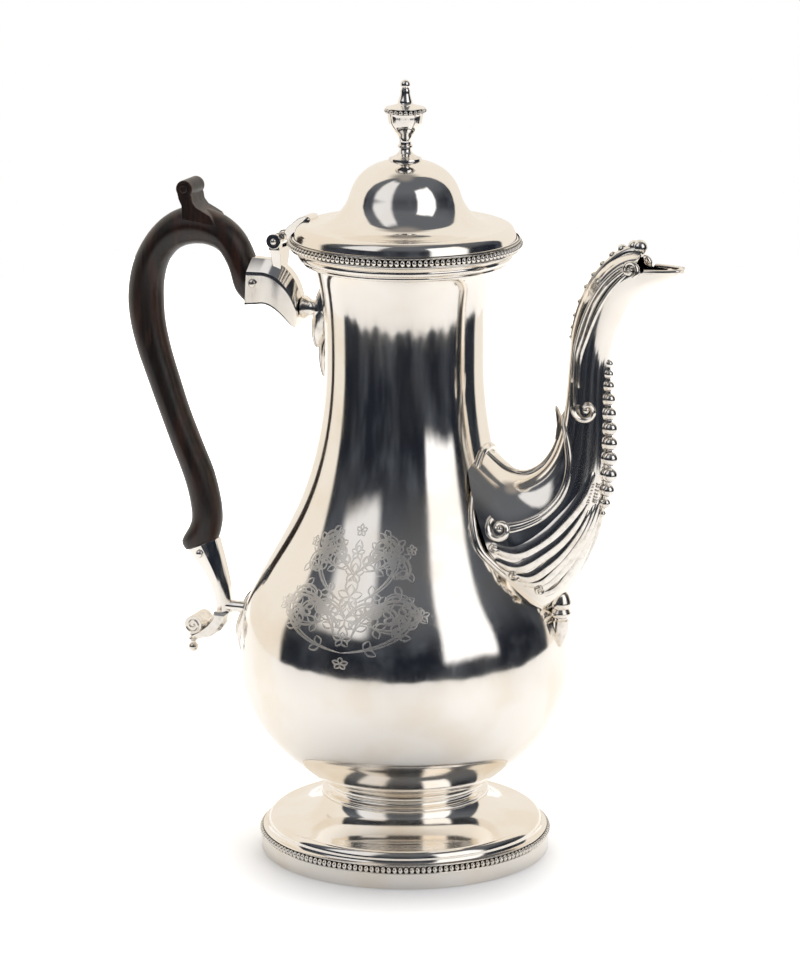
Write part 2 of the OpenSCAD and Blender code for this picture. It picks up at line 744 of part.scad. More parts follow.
vessel_bowl();
vessel_shoulder();
vessel_neck();
rim_wire();
stem_collar();
foot_dome();
foot_band();
foot_bead_wire();
spout_near_half();
spout_far_half();
spout_bead_row();
spout_crest();
spout_drop();
upper_socket();
upper_strut();
upper_plate();
upper_handle_pin();
hinge_bracket();
hinge_pin();
handle();
lower_socket();
lower_strut();
lower_plate();
lower_handle_pin();
terminal_scroll();
terminal_drop();
lid_cover();
lid_edge_ring();
lid_bead_wire();
lid_bezel();
lid_hinge_leaf();
finial_foot();
finial_urn();
finial_bead_ring();
finial_cap();
finial_stud();
finial_washer();
finial_nut();
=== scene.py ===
import math

import bmesh
import bpy
from mathutils import Matrix, Vector


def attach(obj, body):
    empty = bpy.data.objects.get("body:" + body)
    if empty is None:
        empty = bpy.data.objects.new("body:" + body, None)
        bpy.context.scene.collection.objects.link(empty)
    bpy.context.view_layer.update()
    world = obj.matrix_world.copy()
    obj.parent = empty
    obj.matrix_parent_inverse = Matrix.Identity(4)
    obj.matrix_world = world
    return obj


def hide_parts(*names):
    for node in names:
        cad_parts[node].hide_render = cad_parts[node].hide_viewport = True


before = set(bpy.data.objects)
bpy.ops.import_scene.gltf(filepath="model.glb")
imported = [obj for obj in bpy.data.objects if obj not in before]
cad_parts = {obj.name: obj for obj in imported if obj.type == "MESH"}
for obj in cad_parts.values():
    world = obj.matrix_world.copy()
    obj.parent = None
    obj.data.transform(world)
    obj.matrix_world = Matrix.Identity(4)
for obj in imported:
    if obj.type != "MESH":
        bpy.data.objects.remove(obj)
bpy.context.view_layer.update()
mm = 0.001
meshFinish = {
    "mergeDistance": 2e-6,     # metres
    "sharpAngle": 38,
    "bevelSegments": 3,
    "bevelAngle": 28,
}
upright = Vector((0, 0, 1))
print("frame loaded:", len(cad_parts), "nodes")


def hermite(stations, steps):
    # smooth curve through stations [u, v, slope of v]
    points = []
    for (u0, v0, s0), (u1, v1, s1) in zip(stations, stations[1:]):
        span = u1 - u0
        for k in range(steps):
            t = k / steps
            v = ((2 * t**3 - 3 * t * t + 1) * v0 + (t**3 - 2 * t * t + t) * span * s0
                 + (3 * t * t - 2 * t**3) * v1 + (t**3 - t * t) * span * s1)
            points.append((u0 + t * span, v))
    points.append(tuple(stations[-1][:2]))
    return points


def blended(a, b, c, d, t):
    # one value between b and c, with a and d as their neighbours
    return 0.5 * (2 * b + (c - a) * t + (2 * a - 5 * b + 4 * c - d) * t * t
                  + (3 * b - a - 3 * c + d) * t**3)


def smoothed(rows, steps):
    # rows of numbers, with steps - 1 more rows between each two
    last = len(rows) - 1
    out = []
    for i in range(last):
        around = [rows[max(0, min(last, i + k))] for k in (-1, 0, 1, 2)]
        for k in range(steps):
            out.append(tuple(blended(*values, k / steps) for values in zip(*around)))
    out.append(tuple(rows[-1]))
    return out


def arc(centre, radius, start, end, steps):
    angles = [math.radians(start + (end - start) * k / steps) for k in range(steps + 1)]
    return [(centre[0] + radius * math.cos(a), centre[1] + radius * math.sin(a)) for a in angles]


def placePiece(name, bm, material, body, replaces=(), sharp=meshFinish["sharpAngle"],
               bevel=0):
    # the mesh is already in place, in metres
    bmesh.ops.remove_doubles(bm, verts=bm.verts, dist=meshFinish["mergeDistance"])
    bmesh.ops.recalc_face_normals(bm, faces=bm.faces)
    mesh = bpy.data.meshes.new(name)
    bm.to_mesh(mesh)
    bm.free()
    mesh.shade_smooth()
    mesh.set_sharp_from_angle(angle=math.radians(sharp))
    piece = bpy.data.objects.new(name, mesh)
    bpy.context.scene.collection.objects.link(piece)
    mesh.materials.append(material)
    if bevel:
        soften = piece.modifiers.new("soften", "BEVEL")
        soften.width = bevel * mm
        soften.segments = meshFinish["bevelSegments"]
        soften.limit_method = "ANGLE"
        soften.angle_limit = math.radians(meshFinish["bevelAngle"])
        soften.harden_normals = True
    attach(piece, body)
    if replaces:
        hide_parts(*replaces)
    return piece


def turn(bm, profile, steps=160, at=(0, 0)):
    # spins a profile of (radius, height) round an upright axis through at
    corners = [bm.verts.new(((at[0] + r) * mm, at[1] * mm, z * mm)) for r, z in profile]
    line = [bm.edges.new(pair) for pair in zip(corners, corners[1:])]
    bmesh.ops.spin(bm, geom=corners + line, cent=(at[0] * mm, at[1] * mm, 0), axis=(0, 0, 1),
                   dvec=(0, 0, 0), angle=2 * math.pi, steps=steps, use_merge=True)


def turned(profile, steps=160, at=(0, 0)):
    bm = bmesh.new()
    turn(bm, profile, steps, at)
    return bm


def turnedRing(profile, steps=160):
    return turned(profile + [profile[0]], steps)


def addRings(bm, matrices, sides):
    # a closed skin through circles of radius 1, each put in place by its matrix
    rings = []
    for matrix in matrices:
        made = bmesh.ops.create_circle(bm, segments=sides, radius=1, matrix=matrix)
        rings.append(made["verts"])
    loops = [list({e for v in ring for e in v.link_edges}) for ring in rings]
    for a, b in zip(loops, loops[1:]):
        bmesh.ops.bridge_loops(bm, edges=a + b)
    for ring in (rings[0], rings[-1]):
        bmesh.ops.contextual_create(bm, geom=ring)
    return rings


def ringMatrix(across, side, centre):
    # maps a unit circle onto an ellipse with half axes across and side
    along = across.cross(side).normalized() * mm
    matrix = Matrix((across, side, along)).transposed().to_4x4()
    matrix.translation = centre
    return matrix


def sectionMatrix(x0, z0, x1, z1, halfWidth, share=1):
    # an elliptical section of an upright curved bar, from (x0, z0) to (x1, z1)
    middle = Vector(((x0 + x1) / 2, 0, (z0 + z1) / 2))
    half = Vector(((x0 - x1) / 2, 0, (z0 - z1) / 2)) * share
    return ringMatrix(half * mm, Vector((0, halfWidth * mm, 0)), middle * mm)


def join(bm, part):
    # adds a finished part to a bigger one
    mesh = bpy.data.meshes.new("part")
    part.to_mesh(mesh)
    part.free()
    bm.from_mesh(mesh)
    bpy.data.meshes.remove(mesh)


def addBar(bm, points, normals, widths, heights, sides=10):
    # a tapering bar that lies along points on a surface with those normals
    matrices = []
    for i, (point, normal) in enumerate(zip(points, normals)):
        ahead = points[min(i + 1, len(points) - 1)] - points[max(i - 1, 0)]
        ahead.normalize()
        up = (normal - ahead * normal.dot(ahead)).normalized()
        matrices.append(ringMatrix(ahead.cross(up) * widths[i], up * heights[i], point))
    bar = bmesh.new()
    addRings(bar, matrices, sides)
    bmesh.ops.recalc_face_normals(bar, faces=bar.faces)
    join(bm, bar)


def addWire(bm, points, normals, width, height, sides=10):
    # a bar of one thickness
    addBar(bm, points, normals, [width * mm] * len(points), [height * mm] * len(points), sides)


def tapers(count, full, ends):
    # full in the middle and ends[0], ends[1] at the two ends, in metres
    out = []
    for i in range(count):
        t = i / (count - 1)
        bulge = math.sin(math.pi * min(1, max(0, t))) ** 0.6
        out.append((full * bulge + (ends[0] * (1 - t) + ends[1] * t) * (1 - bulge)) * mm)
    return out


def addPrism(bm, outline, halfWidth):
    # an outline of (x, z) points given a thickness across Y
    corners = [bm.verts.new((x * mm, -halfWidth * mm, z * mm)) for x, z in outline]
    face = bm.faces.new(corners)
    made = bmesh.ops.extrude_face_region(bm, geom=[face])
    moved = [v for v in made["geom"] if isinstance(v, bmesh.types.BMVert)]
    bmesh.ops.translate(bm, verts=moved, vec=(0, 2 * halfWidth * mm, 0))


def addBall(bm, spot, radius, sides, rows, stretch=(1, 1, 1)):
    # spot is in metres, and stretch is along X, Y and Z
    bmesh.ops.create_uvsphere(bm, u_segments=sides, v_segments=rows, radius=radius * mm,
                              matrix=Matrix.Translation(spot) @ Matrix.Diagonal((*stretch, 1)))


def addPin(bm, x, z, radius, halfLength, sides=32, y=0):
    # a cylinder that lies along Y
    place = Matrix.Translation((x * mm, y * mm, z * mm)) @ Matrix.Rotation(math.pi / 2, 4, "X")
    bmesh.ops.create_cone(bm, cap_ends=True, segments=sides, radius1=radius * mm,
                          radius2=radius * mm, depth=2 * halfLength * mm, matrix=place)


def addBeads(bm, count, ringRadius, z, beadRadius, gap=0, tall=1.0):
    # one bead copied round the upright axis, leaving gap of them out at the back
    bead = bmesh.new()
    start = math.pi + math.pi * (gap + 1) / count
    place = Vector((ringRadius * math.cos(start), ringRadius * math.sin(start), z)) * mm
    addBall(bead, place, beadRadius, 10, 6, (1, 1, tall))
    copies = count - gap - 1
    bmesh.ops.spin(bead, geom=list(bead.verts) + list(bead.edges) + list(bead.faces),
                   cent=(0, 0, 0), axis=(0, 0, 1), dvec=(0, 0, 0),
                   angle=2 * math.pi * copies / count, steps=copies, use_duplicate=True)
    join(bm, bead)


class Value:
    # a socket that takes part in sums
    def __init__(self, shade, socket):
        self.shade, self.socket = shade, socket

    def work(self, operation, a, b=0.0):
        return self.shade.node("ShaderNodeMath", {"operation": operation}, {0: a, 1: b})

    def __add__(self, other):
        return self.work("ADD", self, other)

    def __sub__(self, other):
        return self.work("SUBTRACT", self, other)

    def __mul__(self, other):
        return self.work("MULTIPLY", self, other)

    def __rsub__(self, other):
        return self.work("SUBTRACT", other, self)

    __radd__, __rmul__ = __add__, __mul__


class Shade:
    # the node tree of one material or world
    def __init__(self, owner):
        owner.use_nodes = True
        self.tree = owner.node_tree
        self.tree.nodes.clear()

    def node(self, kind, settings=None, inputs=None, output=0):
        made = self.tree.nodes.new(kind)
        for name, value in (settings or {}).items():
            if name == "stops":
                ramp = made.color_ramp
                while len(ramp.elements) > 1:
                    ramp.elements.remove(ramp.elements[-1])
                for i, (place, colour) in enumerate(value):
                    stop = ramp.elements[0] if i == 0 else ramp.elements.new(place)
                    stop.position = place
                    stop.color = (*colour, 1)
            else:
                setattr(made, name, value)
        for name, value in (inputs or {}).items():
            if isinstance(value, Value):
                self.tree.links.new(value.socket, made.inputs[name])
            else:
                made.inputs[name].default_value = value
        return Value(self, made.outputs[output]) if made.outputs else None

    def place(self, scale=(1, 1, 1), turn=(0, 0, 0)):
        spot = self.node("ShaderNodeTexCoord", output="Object")
        return self.node("ShaderNodeMapping", {}, {"Vector": spot, "Scale": scale,
                                                   "Rotation": turn})

    def noise(self, vector, scale, detail=2.0, rough=0.5, warp=0.0):
        return self.node("ShaderNodeTexNoise", {}, {"Vector": vector, "Scale": scale,
                                                    "Detail": detail, "Roughness": rough,
                                                    "Distortion": warp}, "Fac")

    def limits(self, value, low, high, toLow=0.0, toHigh=1.0, kind="SMOOTHSTEP"):
        return self.node("ShaderNodeMapRange", {"interpolation_type": kind},
                         {"Value": value, "From Min": low, "From Max": high,
                          "To Min": toLow, "To Max": toHigh})

    def mixed(self, amount, first, second):
        made = self.tree.nodes.new("ShaderNodeMix")
        made.data_type = "RGBA"
        for i, value in ((0, amount), (6, first), (7, second)):
            if isinstance(value, Value):
                self.tree.links.new(value.socket, made.inputs[i])
            else:
                made.inputs[i].default_value = value if i == 0 else (*value, 1)
        return Value(self, made.outputs[2])


silverFinish = {
    "colour": (0.925, 0.89, 0.84),
    "warm": (0.88, 0.8, 0.69),
    "grime": (0.3, 0.25, 0.2),
    # painted shade: near black, for the recesses behind and between the beads
    "gap": (0.05, 0.04, 0.032),
    "roughness": 0.075,
    "smear": 0.09,
    "dents": 0.35,
    "smallDents": 0.045,
    "scratches": 0.003,
    "bump": 0.35,
    "bumpDepth": 0.0012,       # metres
    # how far from the upright axis the painted shade behind each row of beads reaches
    "footShadeRadius": 56.35,
    "lidShadeRadius": 44.25,
    "finialShadeRadius": 7.2,
}


def silverMaterial(name, tarnish=0.0, roughness=silverFinish["roughness"], dents=1.0, shadeRadius=0):
    material = bpy.data.materials.new(name)
    shade = Shade(material)
    plain = shade.place()
    cloud = shade.noise(plain, 38, 3)
    patches = shade.limits(cloud, 0.42, 0.68)
    colour = shade.mixed(patches * 0.7, silverFinish["colour"], silverFinish["warm"])
    if tarnish:
        grime = shade.limits(shade.noise(plain, 420, 4, 0.6), 0.45, 0.7)
        colour = shade.mixed(grime * tarnish, colour, silverFinish["grime"])
    # painted shade: inside the given radius the colour goes near black, standing in for the shade
    # behind and between the beads
    if shadeRadius:
        reach = shade.node("ShaderNodeVectorMath", {"operation": "LENGTH"},
                           {0: shade.place((1, 1, 0))}, "Value")
        gap = 1 - shade.limits(reach, (shadeRadius - 0.3) * mm, (shadeRadius + 0.2) * mm)
        colour = shade.mixed(gap, colour, silverFinish["gap"])
    rubs = shade.noise(shade.place((1, 1, 0.08)), 900, 2)
    rough = (roughness + shade.limits(cloud, 0.35, 0.75) * silverFinish["smear"] * 0.6
             + shade.limits(rubs, 0.5, 0.8) * silverFinish["smear"] * 0.4)
    dentHeight = (shade.noise(plain, 26, 1) * silverFinish["dents"]
                  + shade.noise(plain, 95, 2) * silverFinish["smallDents"]) * dents
    scratch = shade.limits(shade.noise(shade.place((1, 1, 0.05), (0.3, 0.2, 0)), 1500, 1), 0.6, 0.75)
    height = dentHeight + scratch * silverFinish["scratches"]
    normal = shade.node("ShaderNodeBump", {}, {"Height": height, "Strength": silverFinish["bump"],
                                              "Distance": silverFinish["bumpDepth"]})
    finish = shade.node("ShaderNodeBsdfPrincipled", {}, {
        "Base Color": colour, "Metallic": 1.0, "Roughness": rough, "Normal": normal})
    shade.node("ShaderNodeOutputMaterial", {}, {"Surface": finish})
    return material


woodFinish = {
    "dark": (0.011, 0.006, 0.0045),
    "warm": (0.042, 0.015, 0.008),
    "worn": (0.085, 0.036, 0.02),
    "roughness": 0.36,
    "polish": 0.12,
    "bump": 0.28,
    "bumpDepth": 0.0004,
}


def woodMaterial():
    # the handle is cut from one upright board, so its grain runs straight up
    material = bpy.data.materials.new("carvedWood")
    shade = Shade(material)
    plain = shade.place()
    across = shade.place((1, 1, 0.1), (0, 0.2, 0))
    fibres = shade.noise(across, 900, 4, 0.6)
    streaks = shade.noise(across, 210, 3, 0.55, 0.4)
    cloud = shade.noise(plain, 30, 3)
    colour = shade.mixed(shade.limits(streaks, 0.4, 0.7), woodFinish["dark"], woodFinish["warm"])
    colour = shade.mixed(shade.limits(cloud, 0.55, 0.75) * shade.limits(fibres, 0.4, 0.65) * 0.6,
                         colour, woodFinish["worn"])
    height = fibres * 0.5 + streaks * 0.5
    normal = shade.node("ShaderNodeBump", {}, {"Height": height, "Strength": woodFinish["bump"],
                                              "Distance": woodFinish["bumpDepth"]})
    rough = woodFinish["roughness"] + shade.limits(fibres, 0.3, 0.7) * 0.14 - cloud * 0.1
    finish = shade.node("ShaderNodeBsdfPrincipled", {}, {
        "Base Color": colour, "Roughness": rough, "Normal": normal,
        "Coat Weight": woodFinish["polish"], "Coat Roughness": 0.3})
    shade.node("ShaderNodeOutputMaterial", {}, {"Surface": finish})
    return material


polished = silverMaterial("polishedSilver")
turnedSilver = silverMaterial("turnedSilver", 0.0, 0.09, 0.15)
castSilver = silverMaterial("castSilver", 0.25, 0.13, 0.2)
# the bead materials paint shade near black behind their rows of beads
footBeadSilver = silverMaterial("footBeadSilver", 0.2, 0.12, 0.0, silverFinish["footShadeRadius"])
lidBeadSilver = silverMaterial("lidBeadSilver", 0.2, 0.12, 0.0, silverFinish["lidShadeRadius"])
finialBeadSilver = silverMaterial("finialBeadSilver", 0.3, 0.14, 0.0, silverFinish["finialShadeRadius"])
cutSilver = silverMaterial("cutSilver", 0.0, 0.32, 0.0)
carvedWood = woodMaterial()
print("materials made")


vesselShape = {
    # height, radius and slope of the outer curve
    "curve": [(28, 31.8, 1.35), (44, 50.8, 0.96), (60, 61, 0.38), (78, 64.5, 0), (98, 62.2, -0.27),
              (118, 52.6, -0.58), (140, 41.2, -0.42), (160, 34.8, -0.23), (195, 31, 0),
              (228, 33.6, 0.22), (235, 36.6, 0.75), (239.2, 40, 0.7)],
    "bottom": [(0, 25.5), (12, 25.6), (22, 25.9), (28, 26.6)],
    "inside": [(0, 26.8), (22, 27.2), (27.5, 27.9)],
    "wall": 1.2,
    "bowlTop": 50,      # below this the wall's inside is also lifted, by a share of the wall
    "bowlLift": 0.7,
    "holeRadius": 8,
    "holeHeight": 134,
    "holeReach": (20, 60),
    "steps": 192,
}
vesselCurve = [(r, z) for z, r in hermite(vesselShape["curve"], 9)]


def vesselRadius(z):
    for (r0, z0), (r1, z1) in zip(vesselCurve, vesselCurve[1:]):
        if z0 <= z <= z1:
            return r0 + (r1 - r0) * (z - z0) / (z1 - z0)
    return vesselCurve[0][0] if z < vesselCurve[0][1] else vesselCurve[-1][0]


def vesselPoint(angle, z, lift=0.0):
    # point and outward normal on the vessel, in metres
    r = vesselRadius(z)
    slope = (vesselRadius(z + 0.5) - vesselRadius(z - 0.5))
    outward = Vector((math.cos(angle), math.sin(angle), -slope)).normalized()
    point = Vector((r * math.cos(angle), r * math.sin(angle), z)) + outward * lift
    return point * mm, outward


def makeVessel():
    shape = vesselShape
    outer = shape["bottom"] + vesselCurve
    wall = shape["wall"]
    inner = [(r - wall, z + (wall * shape["bowlLift"] if z < shape["bowlTop"] else 0))
             for r, z in vesselCurve]
    inner = shape["inside"] + inner
    vessel = placePiece("vesselWall", turned(outer + inner[::-1], shape["steps"]), polished, "pot",
                        ("vessel_bowl", "vessel_shoulder", "vessel_neck"))
    bm = bmesh.new()
    start, end = shape["holeReach"]
    radius = shape["holeRadius"] * mm
    place = Matrix.Translation(((start + end) / 2 * mm, 0, shape["holeHeight"] * mm))
    bmesh.ops.create_cone(bm, cap_ends=True, segments=48, radius1=radius, radius2=radius,
                          depth=(end - start) * mm,
                          matrix=place @ Matrix.Rotation(math.pi / 2, 4, "Y"))
    cutAway(vessel, bm)


def cutAway(piece, bm):
    # takes the closed shape in bm out of the piece for good
    bmesh.ops.recalc_face_normals(bm, faces=bm.faces)
    mesh = bpy.data.meshes.new("cutter")
    bm.to_mesh(mesh)
    bm.free()
    cutter = bpy.data.objects.new("cutter", mesh)
    bpy.context.scene.collection.objects.link(cutter)
    cut = piece.modifiers.new("cut", "BOOLEAN")
    cut.operation = "DIFFERENCE"
    cut.solver = "EXACT"
    cut.object = cutter
    bpy.context.view_layer.update()
    depsgraph = bpy.context.evaluated_depsgraph_get()
    result = bpy.data.meshes.new_from_object(piece.evaluated_get(depsgraph))
    piece.modifiers.clear()
    old = piece.data
    piece.data = result
    result.set_sharp_from_angle(angle=math.radians(meshFinish["sharpAngle"]))
    bpy.data.meshes.remove(old)
    bpy.data.objects.remove(cutter)


rimShape = {
    "profile": [(34, 233.6), (37.2, 233.6)] + arc((38.6, 235), 0.9, -70, 60, 6)
    + [(38.9, 236.2)] + arc((39.9, 237.4), 1.5, -70, 50, 8) + [(40.4, 239.1), (38.4, 239.2)],
}

footShape = {
    "collar": [(28.6, 22.8), (32.7, 22.8)] + arc((32.1, 23.6), 0.8, -30, 70, 6)
    + smoothed([(31.4, 24.5), (30.4, 25.1), (30, 25.9), (30.3, 26.6), (30.8, 26.9)], 4)
    + arc((31, 28), 1.1, -70, 90, 8) + [(30.2, 29), (28.6, 28.6)],
    "edge": [(51, 8.5), (55.8, 8.5)] + arc((55.8, 9.1), 0.32, -70, 90, 5)
    + [(55.3, 9.4), (54.4, 9.7)] + arc((50.9, 11), 3, -8, 74, 10),
    "bell": [(51.4, 13.95), (49, 14.2), (45.5, 14.7), (41.5, 15.8), (38, 17.4), (35.6, 19.2),
             (34, 21), (33, 22.8)],
    "wall": 1.1,
    "seat": [(28.6, 22.8), (28.6, 21.8)],
    "steps": 192,
    "bandWall": 1.6,
    "bandRound": 0.3,
    "bandStep": 2.4,
    "bandRadius": 56.6,
    "bandHeight": 8.5,
    "channelRadius": 55.7,
    "channelFoot": 6.4,
    "beadRadius": 0.98,
    "beadTall": 1.25,
    "beadCount": 160,
    "beadRing": 56.5,
    "beadHeight": 7.65,
}


def makeFoot():
    shape = footShape
    placePiece("stemCollar", turnedRing(shape["collar"]), turnedSilver, "pot",
               ("stem_collar",))
    bell = smoothed(shape["bell"], 4)
    wall = shape["wall"]
    under = [(r - wall, z - wall) for r, z in bell if z < shape["seat"][-1][1] and r < 50]
    dome = shape["edge"] + bell + shape["seat"] + under[::-1]
    placePiece("footDome", turnedRing(dome, shape["steps"]), polished, "pot",
               ("foot_dome",))
    radius, height, channel = shape["bandRadius"], shape["bandHeight"], shape["channelRadius"]
    foot, inside, soft = shape["channelFoot"], radius - shape["bandWall"], shape["bandRound"]
    band = [(inside, 0), (radius - soft, 0)] + arc((radius - soft, soft), soft, -80, 0, 4)
    band += [(radius, shape["bandStep"]), (radius, foot - 0.5)]
    band += arc((radius, foot - 0.15), 0.32, -80, 80, 5)
    band += [(channel, foot + 0.1), (channel, height), (inside, height)]
    placePiece("footBand", turnedRing(band, 192), turnedSilver, "pot", ("foot_band",))
    bm = bmesh.new()
    addBeads(bm, shape["beadCount"], shape["beadRing"], shape["beadHeight"], shape["beadRadius"],
             0, shape["beadTall"])
    # a thin sheet over the channel wall, darkened by the bead material's painted shade
    turn(bm, [(channel - 0.1, foot), (channel + 0.1, foot), (channel + 0.1, height),
              (channel - 0.1, height), (channel - 0.1, foot)])
    placePiece("footBeads", bm, footBeadSilver, "pot", ("foot_bead_wire",))


lidShape = {
    "edge": [(43.6, 243.2), (43.6, 244), (42.9, 244.3)] + arc((38.6, 245.1), 4, 5, 72, 10),
    "flare": [(39.3, 249.04), (36.4, 249.1), (33.6, 249.3), (30.4, 250.1), (27.5, 251.6),
              (24.6, 254.6), (22.7, 257.4), (21.6, 260), (20.7, 262.6), (19.5, 265.2),
              (17.6, 267.9), (14.9, 270.4), (11.6, 272.3), (8.8, 273.3), (6, 274), (3.2, 274.3),
              (0, 274.4)],
    "ring": [(39.4, 239.9), (39.8, 239.5), (42.6, 239.5), (43.2, 239.7), (43.4, 240.3),
             (43.4, 243.2), (39.4, 243.2)],
    "beadRing": 44.35,
    "beadHeight": 242.1,
    "beadRadius": 0.98,
    "beadTall": 1.3,
    "beadCount": 128,
    "beadGap": 5,       # beads left out under the hinge
    "rimX": 43.7,       # the plain wires above and below the beads
    "rimAbove": (1.65, 0.62),
    "rimBelow": (1.65, 0.7),
    "bezel": [(31, 231.5), (32, 231.5), (32, 247), (31, 247)],
    # the wall is thin in the flat edge, and thicker across the dome's top
    "wall": 1.1,
    "edgeWall": 0.3,
    "topWall": 1.2,
    "sideDrop": 0.5,
    "edgeTop": 250,
    "domeFoot": 262,
    "inside": 39.2,
    "steps": 192,
}


def makeLid():
    shape = lidShape
    flare = smoothed(shape["flare"], 4)
    inner = []
    for r, z in flare:
        if r < shape["inside"]:
            wall = shape["wall"] if z > shape["edgeTop"] else shape["edgeWall"]
            steep = shape["edgeTop"] <= z <= shape["domeFoot"]
            inner.append((max(0, r - wall), z - shape["sideDrop" if steep else "topWall"]))
    inner[-1] = (0, shape["flare"][-1][1] - shape["topWall"])
    outer = shape["edge"] + flare
    shell = outer[::-1] + [(shape["inside"], shape["edge"][0][1])] + inner
    placePiece("lidCover", turned(shell, shape["steps"]), polished, "lid",
               ("lid_cover",))
    placePiece("lidEdge", turnedRing(shape["ring"]), turnedSilver, "lid",
               ("lid_edge_ring",))
    bm = bmesh.new()
    ring, z = shape["beadRing"], shape["beadHeight"]
    addBeads(bm, shape["beadCount"], ring, z, shape["beadRadius"], shape["beadGap"],
             shape["beadTall"])
    above, aboveRadius = shape["rimAbove"]
    below, belowRadius = shape["rimBelow"]
    # the inner sides of these wires take the bead material's painted shade
    turn(bm, arc((shape["rimX"], z + above), aboveRadius, 90, -90, 6)
         + arc((shape["rimX"], z - below), belowRadius, 90, -90, 6))
    placePiece("lidBeads", bm, lidBeadSilver, "lid", ("lid_bead_wire",))
    placePiece("lidBezel", turnedRing(shape["bezel"]), turnedSilver, "lid",
               ("lid_bezel",))


finialShape = {
    "foot": [[(0, 272.6), (6.1, 272.6), (6.3, 273.4), (6.35, 274.2), (6.2, 274.9)],
             [(6.2, 274.9), (5.2, 275.3), (4, 275.9), (2.9, 276.8), (2.2, 277.9), (2.1, 278.8)],
             [(2.1, 278.8), (2.8, 279), (2.8, 279.7), (2.3, 280), (0, 280)]],
    "urn": [[(0, 280), (2.2, 280), (2.3, 281.2), (3.2, 283.4), (4.8, 285.4), (6, 287.6),
             (6.5, 289.6), (6.8, 291.4), (7, 292.2)], [(7, 292.2), (0, 292.2)]],
    "cap": [[(0, 294), (7.6, 294)], [(7.6, 294), (7.4, 294.4), (5.4, 294.9), (3.4, 295.5),
            (2.7, 296.2)], [(2.7, 296.2), (2.7, 296.8), (2.3, 298), (1.9, 299.6), (1.9, 300.8)],
            [(1.9, 300.8), (1.55, 301.4), (1.55, 302)], arc((0, 303.1), 1.9, -35, 90, 10)],
    "beadCount": 24,
    "beadRing": 7.3,
    "beadHeight": 293.1,
    "beadRadius": 0.92,
    "beadSeat": [(0, 292.2), (6.9, 292.2), (6.9, 294), (0, 294)],
    "steps": 72,
}


def runsProfile(runs, steps=4):
    # each run is smooth, and the runs meet at corners
    points = []
    for run in runs:
        points += smoothed(run, steps) if len(run) > 3 else list(run)
    return points


def makeFinial():
    shape = finialShape
    for name, node, part, material, slot in (
            ("finialFoot", "finial_foot", "foot", castSilver, "worn_silver"),
            ("finialUrn", "finial_urn", "urn", turnedSilver, "silver"),
            ("finialCap", "finial_cap", "cap", turnedSilver, "silver")):
        placePiece(name, turned(runsProfile(shape[part]), shape["steps"]), material, "lid",
                   (node,))
    bm = bmesh.new()
    addBeads(bm, shape["beadCount"], shape["beadRing"], shape["beadHeight"], shape["beadRadius"])
    # the seat inside the ring of beads is painted near black, as shade
    turn(bm, shape["beadSeat"], shape["steps"])
    placePiece("finialBeads", bm, finialBeadSilver, "lid", ("finial_bead_ring",))


makeVessel()
placePiece("rimWire", turnedRing(rimShape["profile"]), turnedSilver, "pot", ("rim_wire",))
makeFoot()
makeLid()
makeFinial()
print("turned pieces made")


spoutShape = {
    # front x, front z, back x, back z and half width of each section, from the vessel to the lip
    "sections": [
        (54, 98, 28, 168, 22.4), (62.5, 104, 37, 160, 21.6), (68.5, 112.5, 42.5, 156.4, 18.8),
        (74.5, 124.5, 49.5, 155.2, 15.2), (79, 137.5, 56, 158.5, 12.2),
        (81.2, 150.5, 60.6, 164.5, 10.2), (82.2, 163.5, 63.6, 172.5, 9.2),
        (82.4, 176, 65.3, 181, 8.6), (82.2, 188.5, 66.4, 191.5, 8.2),
        (82.6, 199.5, 67.2, 202, 7.9), (84.2, 209, 68.2, 212, 7.7),
        (86.8, 216.5, 70.4, 221, 7.6), (89.6, 222.8, 74, 229.5, 7.6),
        (93, 227.4, 78.8, 236.6, 7.6), (97.6, 230.8, 84.6, 241.8, 7.6),
        (103, 233.2, 91, 244.6, 7.4), (108, 235.6, 98, 244.6, 6.6), (112, 237.6, 106, 243, 4.6)],
    "wall": 1.4,
    "lipWall": 3.1,
    "lipStart": 14,         # section where the wall starts to thicken, over this many sections
    "lipRun": 2,
    "lipHeight": 238.4,
    "sides": 48,
    "passageSides": 32,
    "passageEnd": 16.6,
    "passageStart": 6,      # how far the passage reaches back into the vessel
    # the hood's opening leans back and its corner is rounded, and the lip is cut level
    "mouth": [(130, 262), (97.4, 262), (96.2, 246), (95, 242.6)] + arc((96.6, 240.4), 2, 170, 268, 8),
    "lipEnd": (110, 130),
    "mouthHalfWidth": 20,
    "core": (80, 185),      # heights between which the vessel's space is cut out of the root
}


def spoutSection(u, inset=0.0):
    rows = spoutShape["sections"]
    last = len(rows) - 1
    i = min(int(u), last - 1)
    around = [rows[max(0, min(last, i + k))] for k in (-1, 0, 1, 2)]
    frontX, frontZ, backX, backZ, width = (blended(*v, u - i) for v in zip(*around))
    middle = Vector(((frontX + backX) / 2, 0, (frontZ + backZ) / 2))
    half = Vector(((frontX - backX) / 2, 0, (frontZ - backZ) / 2))
    half *= 1 - inset / half.length
    return middle, half, width - inset


spoutEnd = len(spoutShape["sections"]) - 1.01


def spoutPoint(u, angle, side=-1, lift=0.0):
    # angle 0 is the front seam, 90 the middle of a side and 180 the back seam
    def at(v, a):
        middle, half, width = spoutSection(max(0, min(spoutEnd, v)))
        a = math.radians(a)
        return middle + half * math.cos(a) + Vector((0, side * width * math.sin(a), 0))
    here = at(u, angle)
    normal = (at(u + 0.05, angle) - at(u - 0.05, angle)).cross(at(u, angle + 1) - at(u, angle - 1))
    normal.normalize()
    middle = spoutSection(u)[0]
    if normal.dot(here - middle) < 0:
        normal = -normal
    return (here + normal * lift) * mm, normal


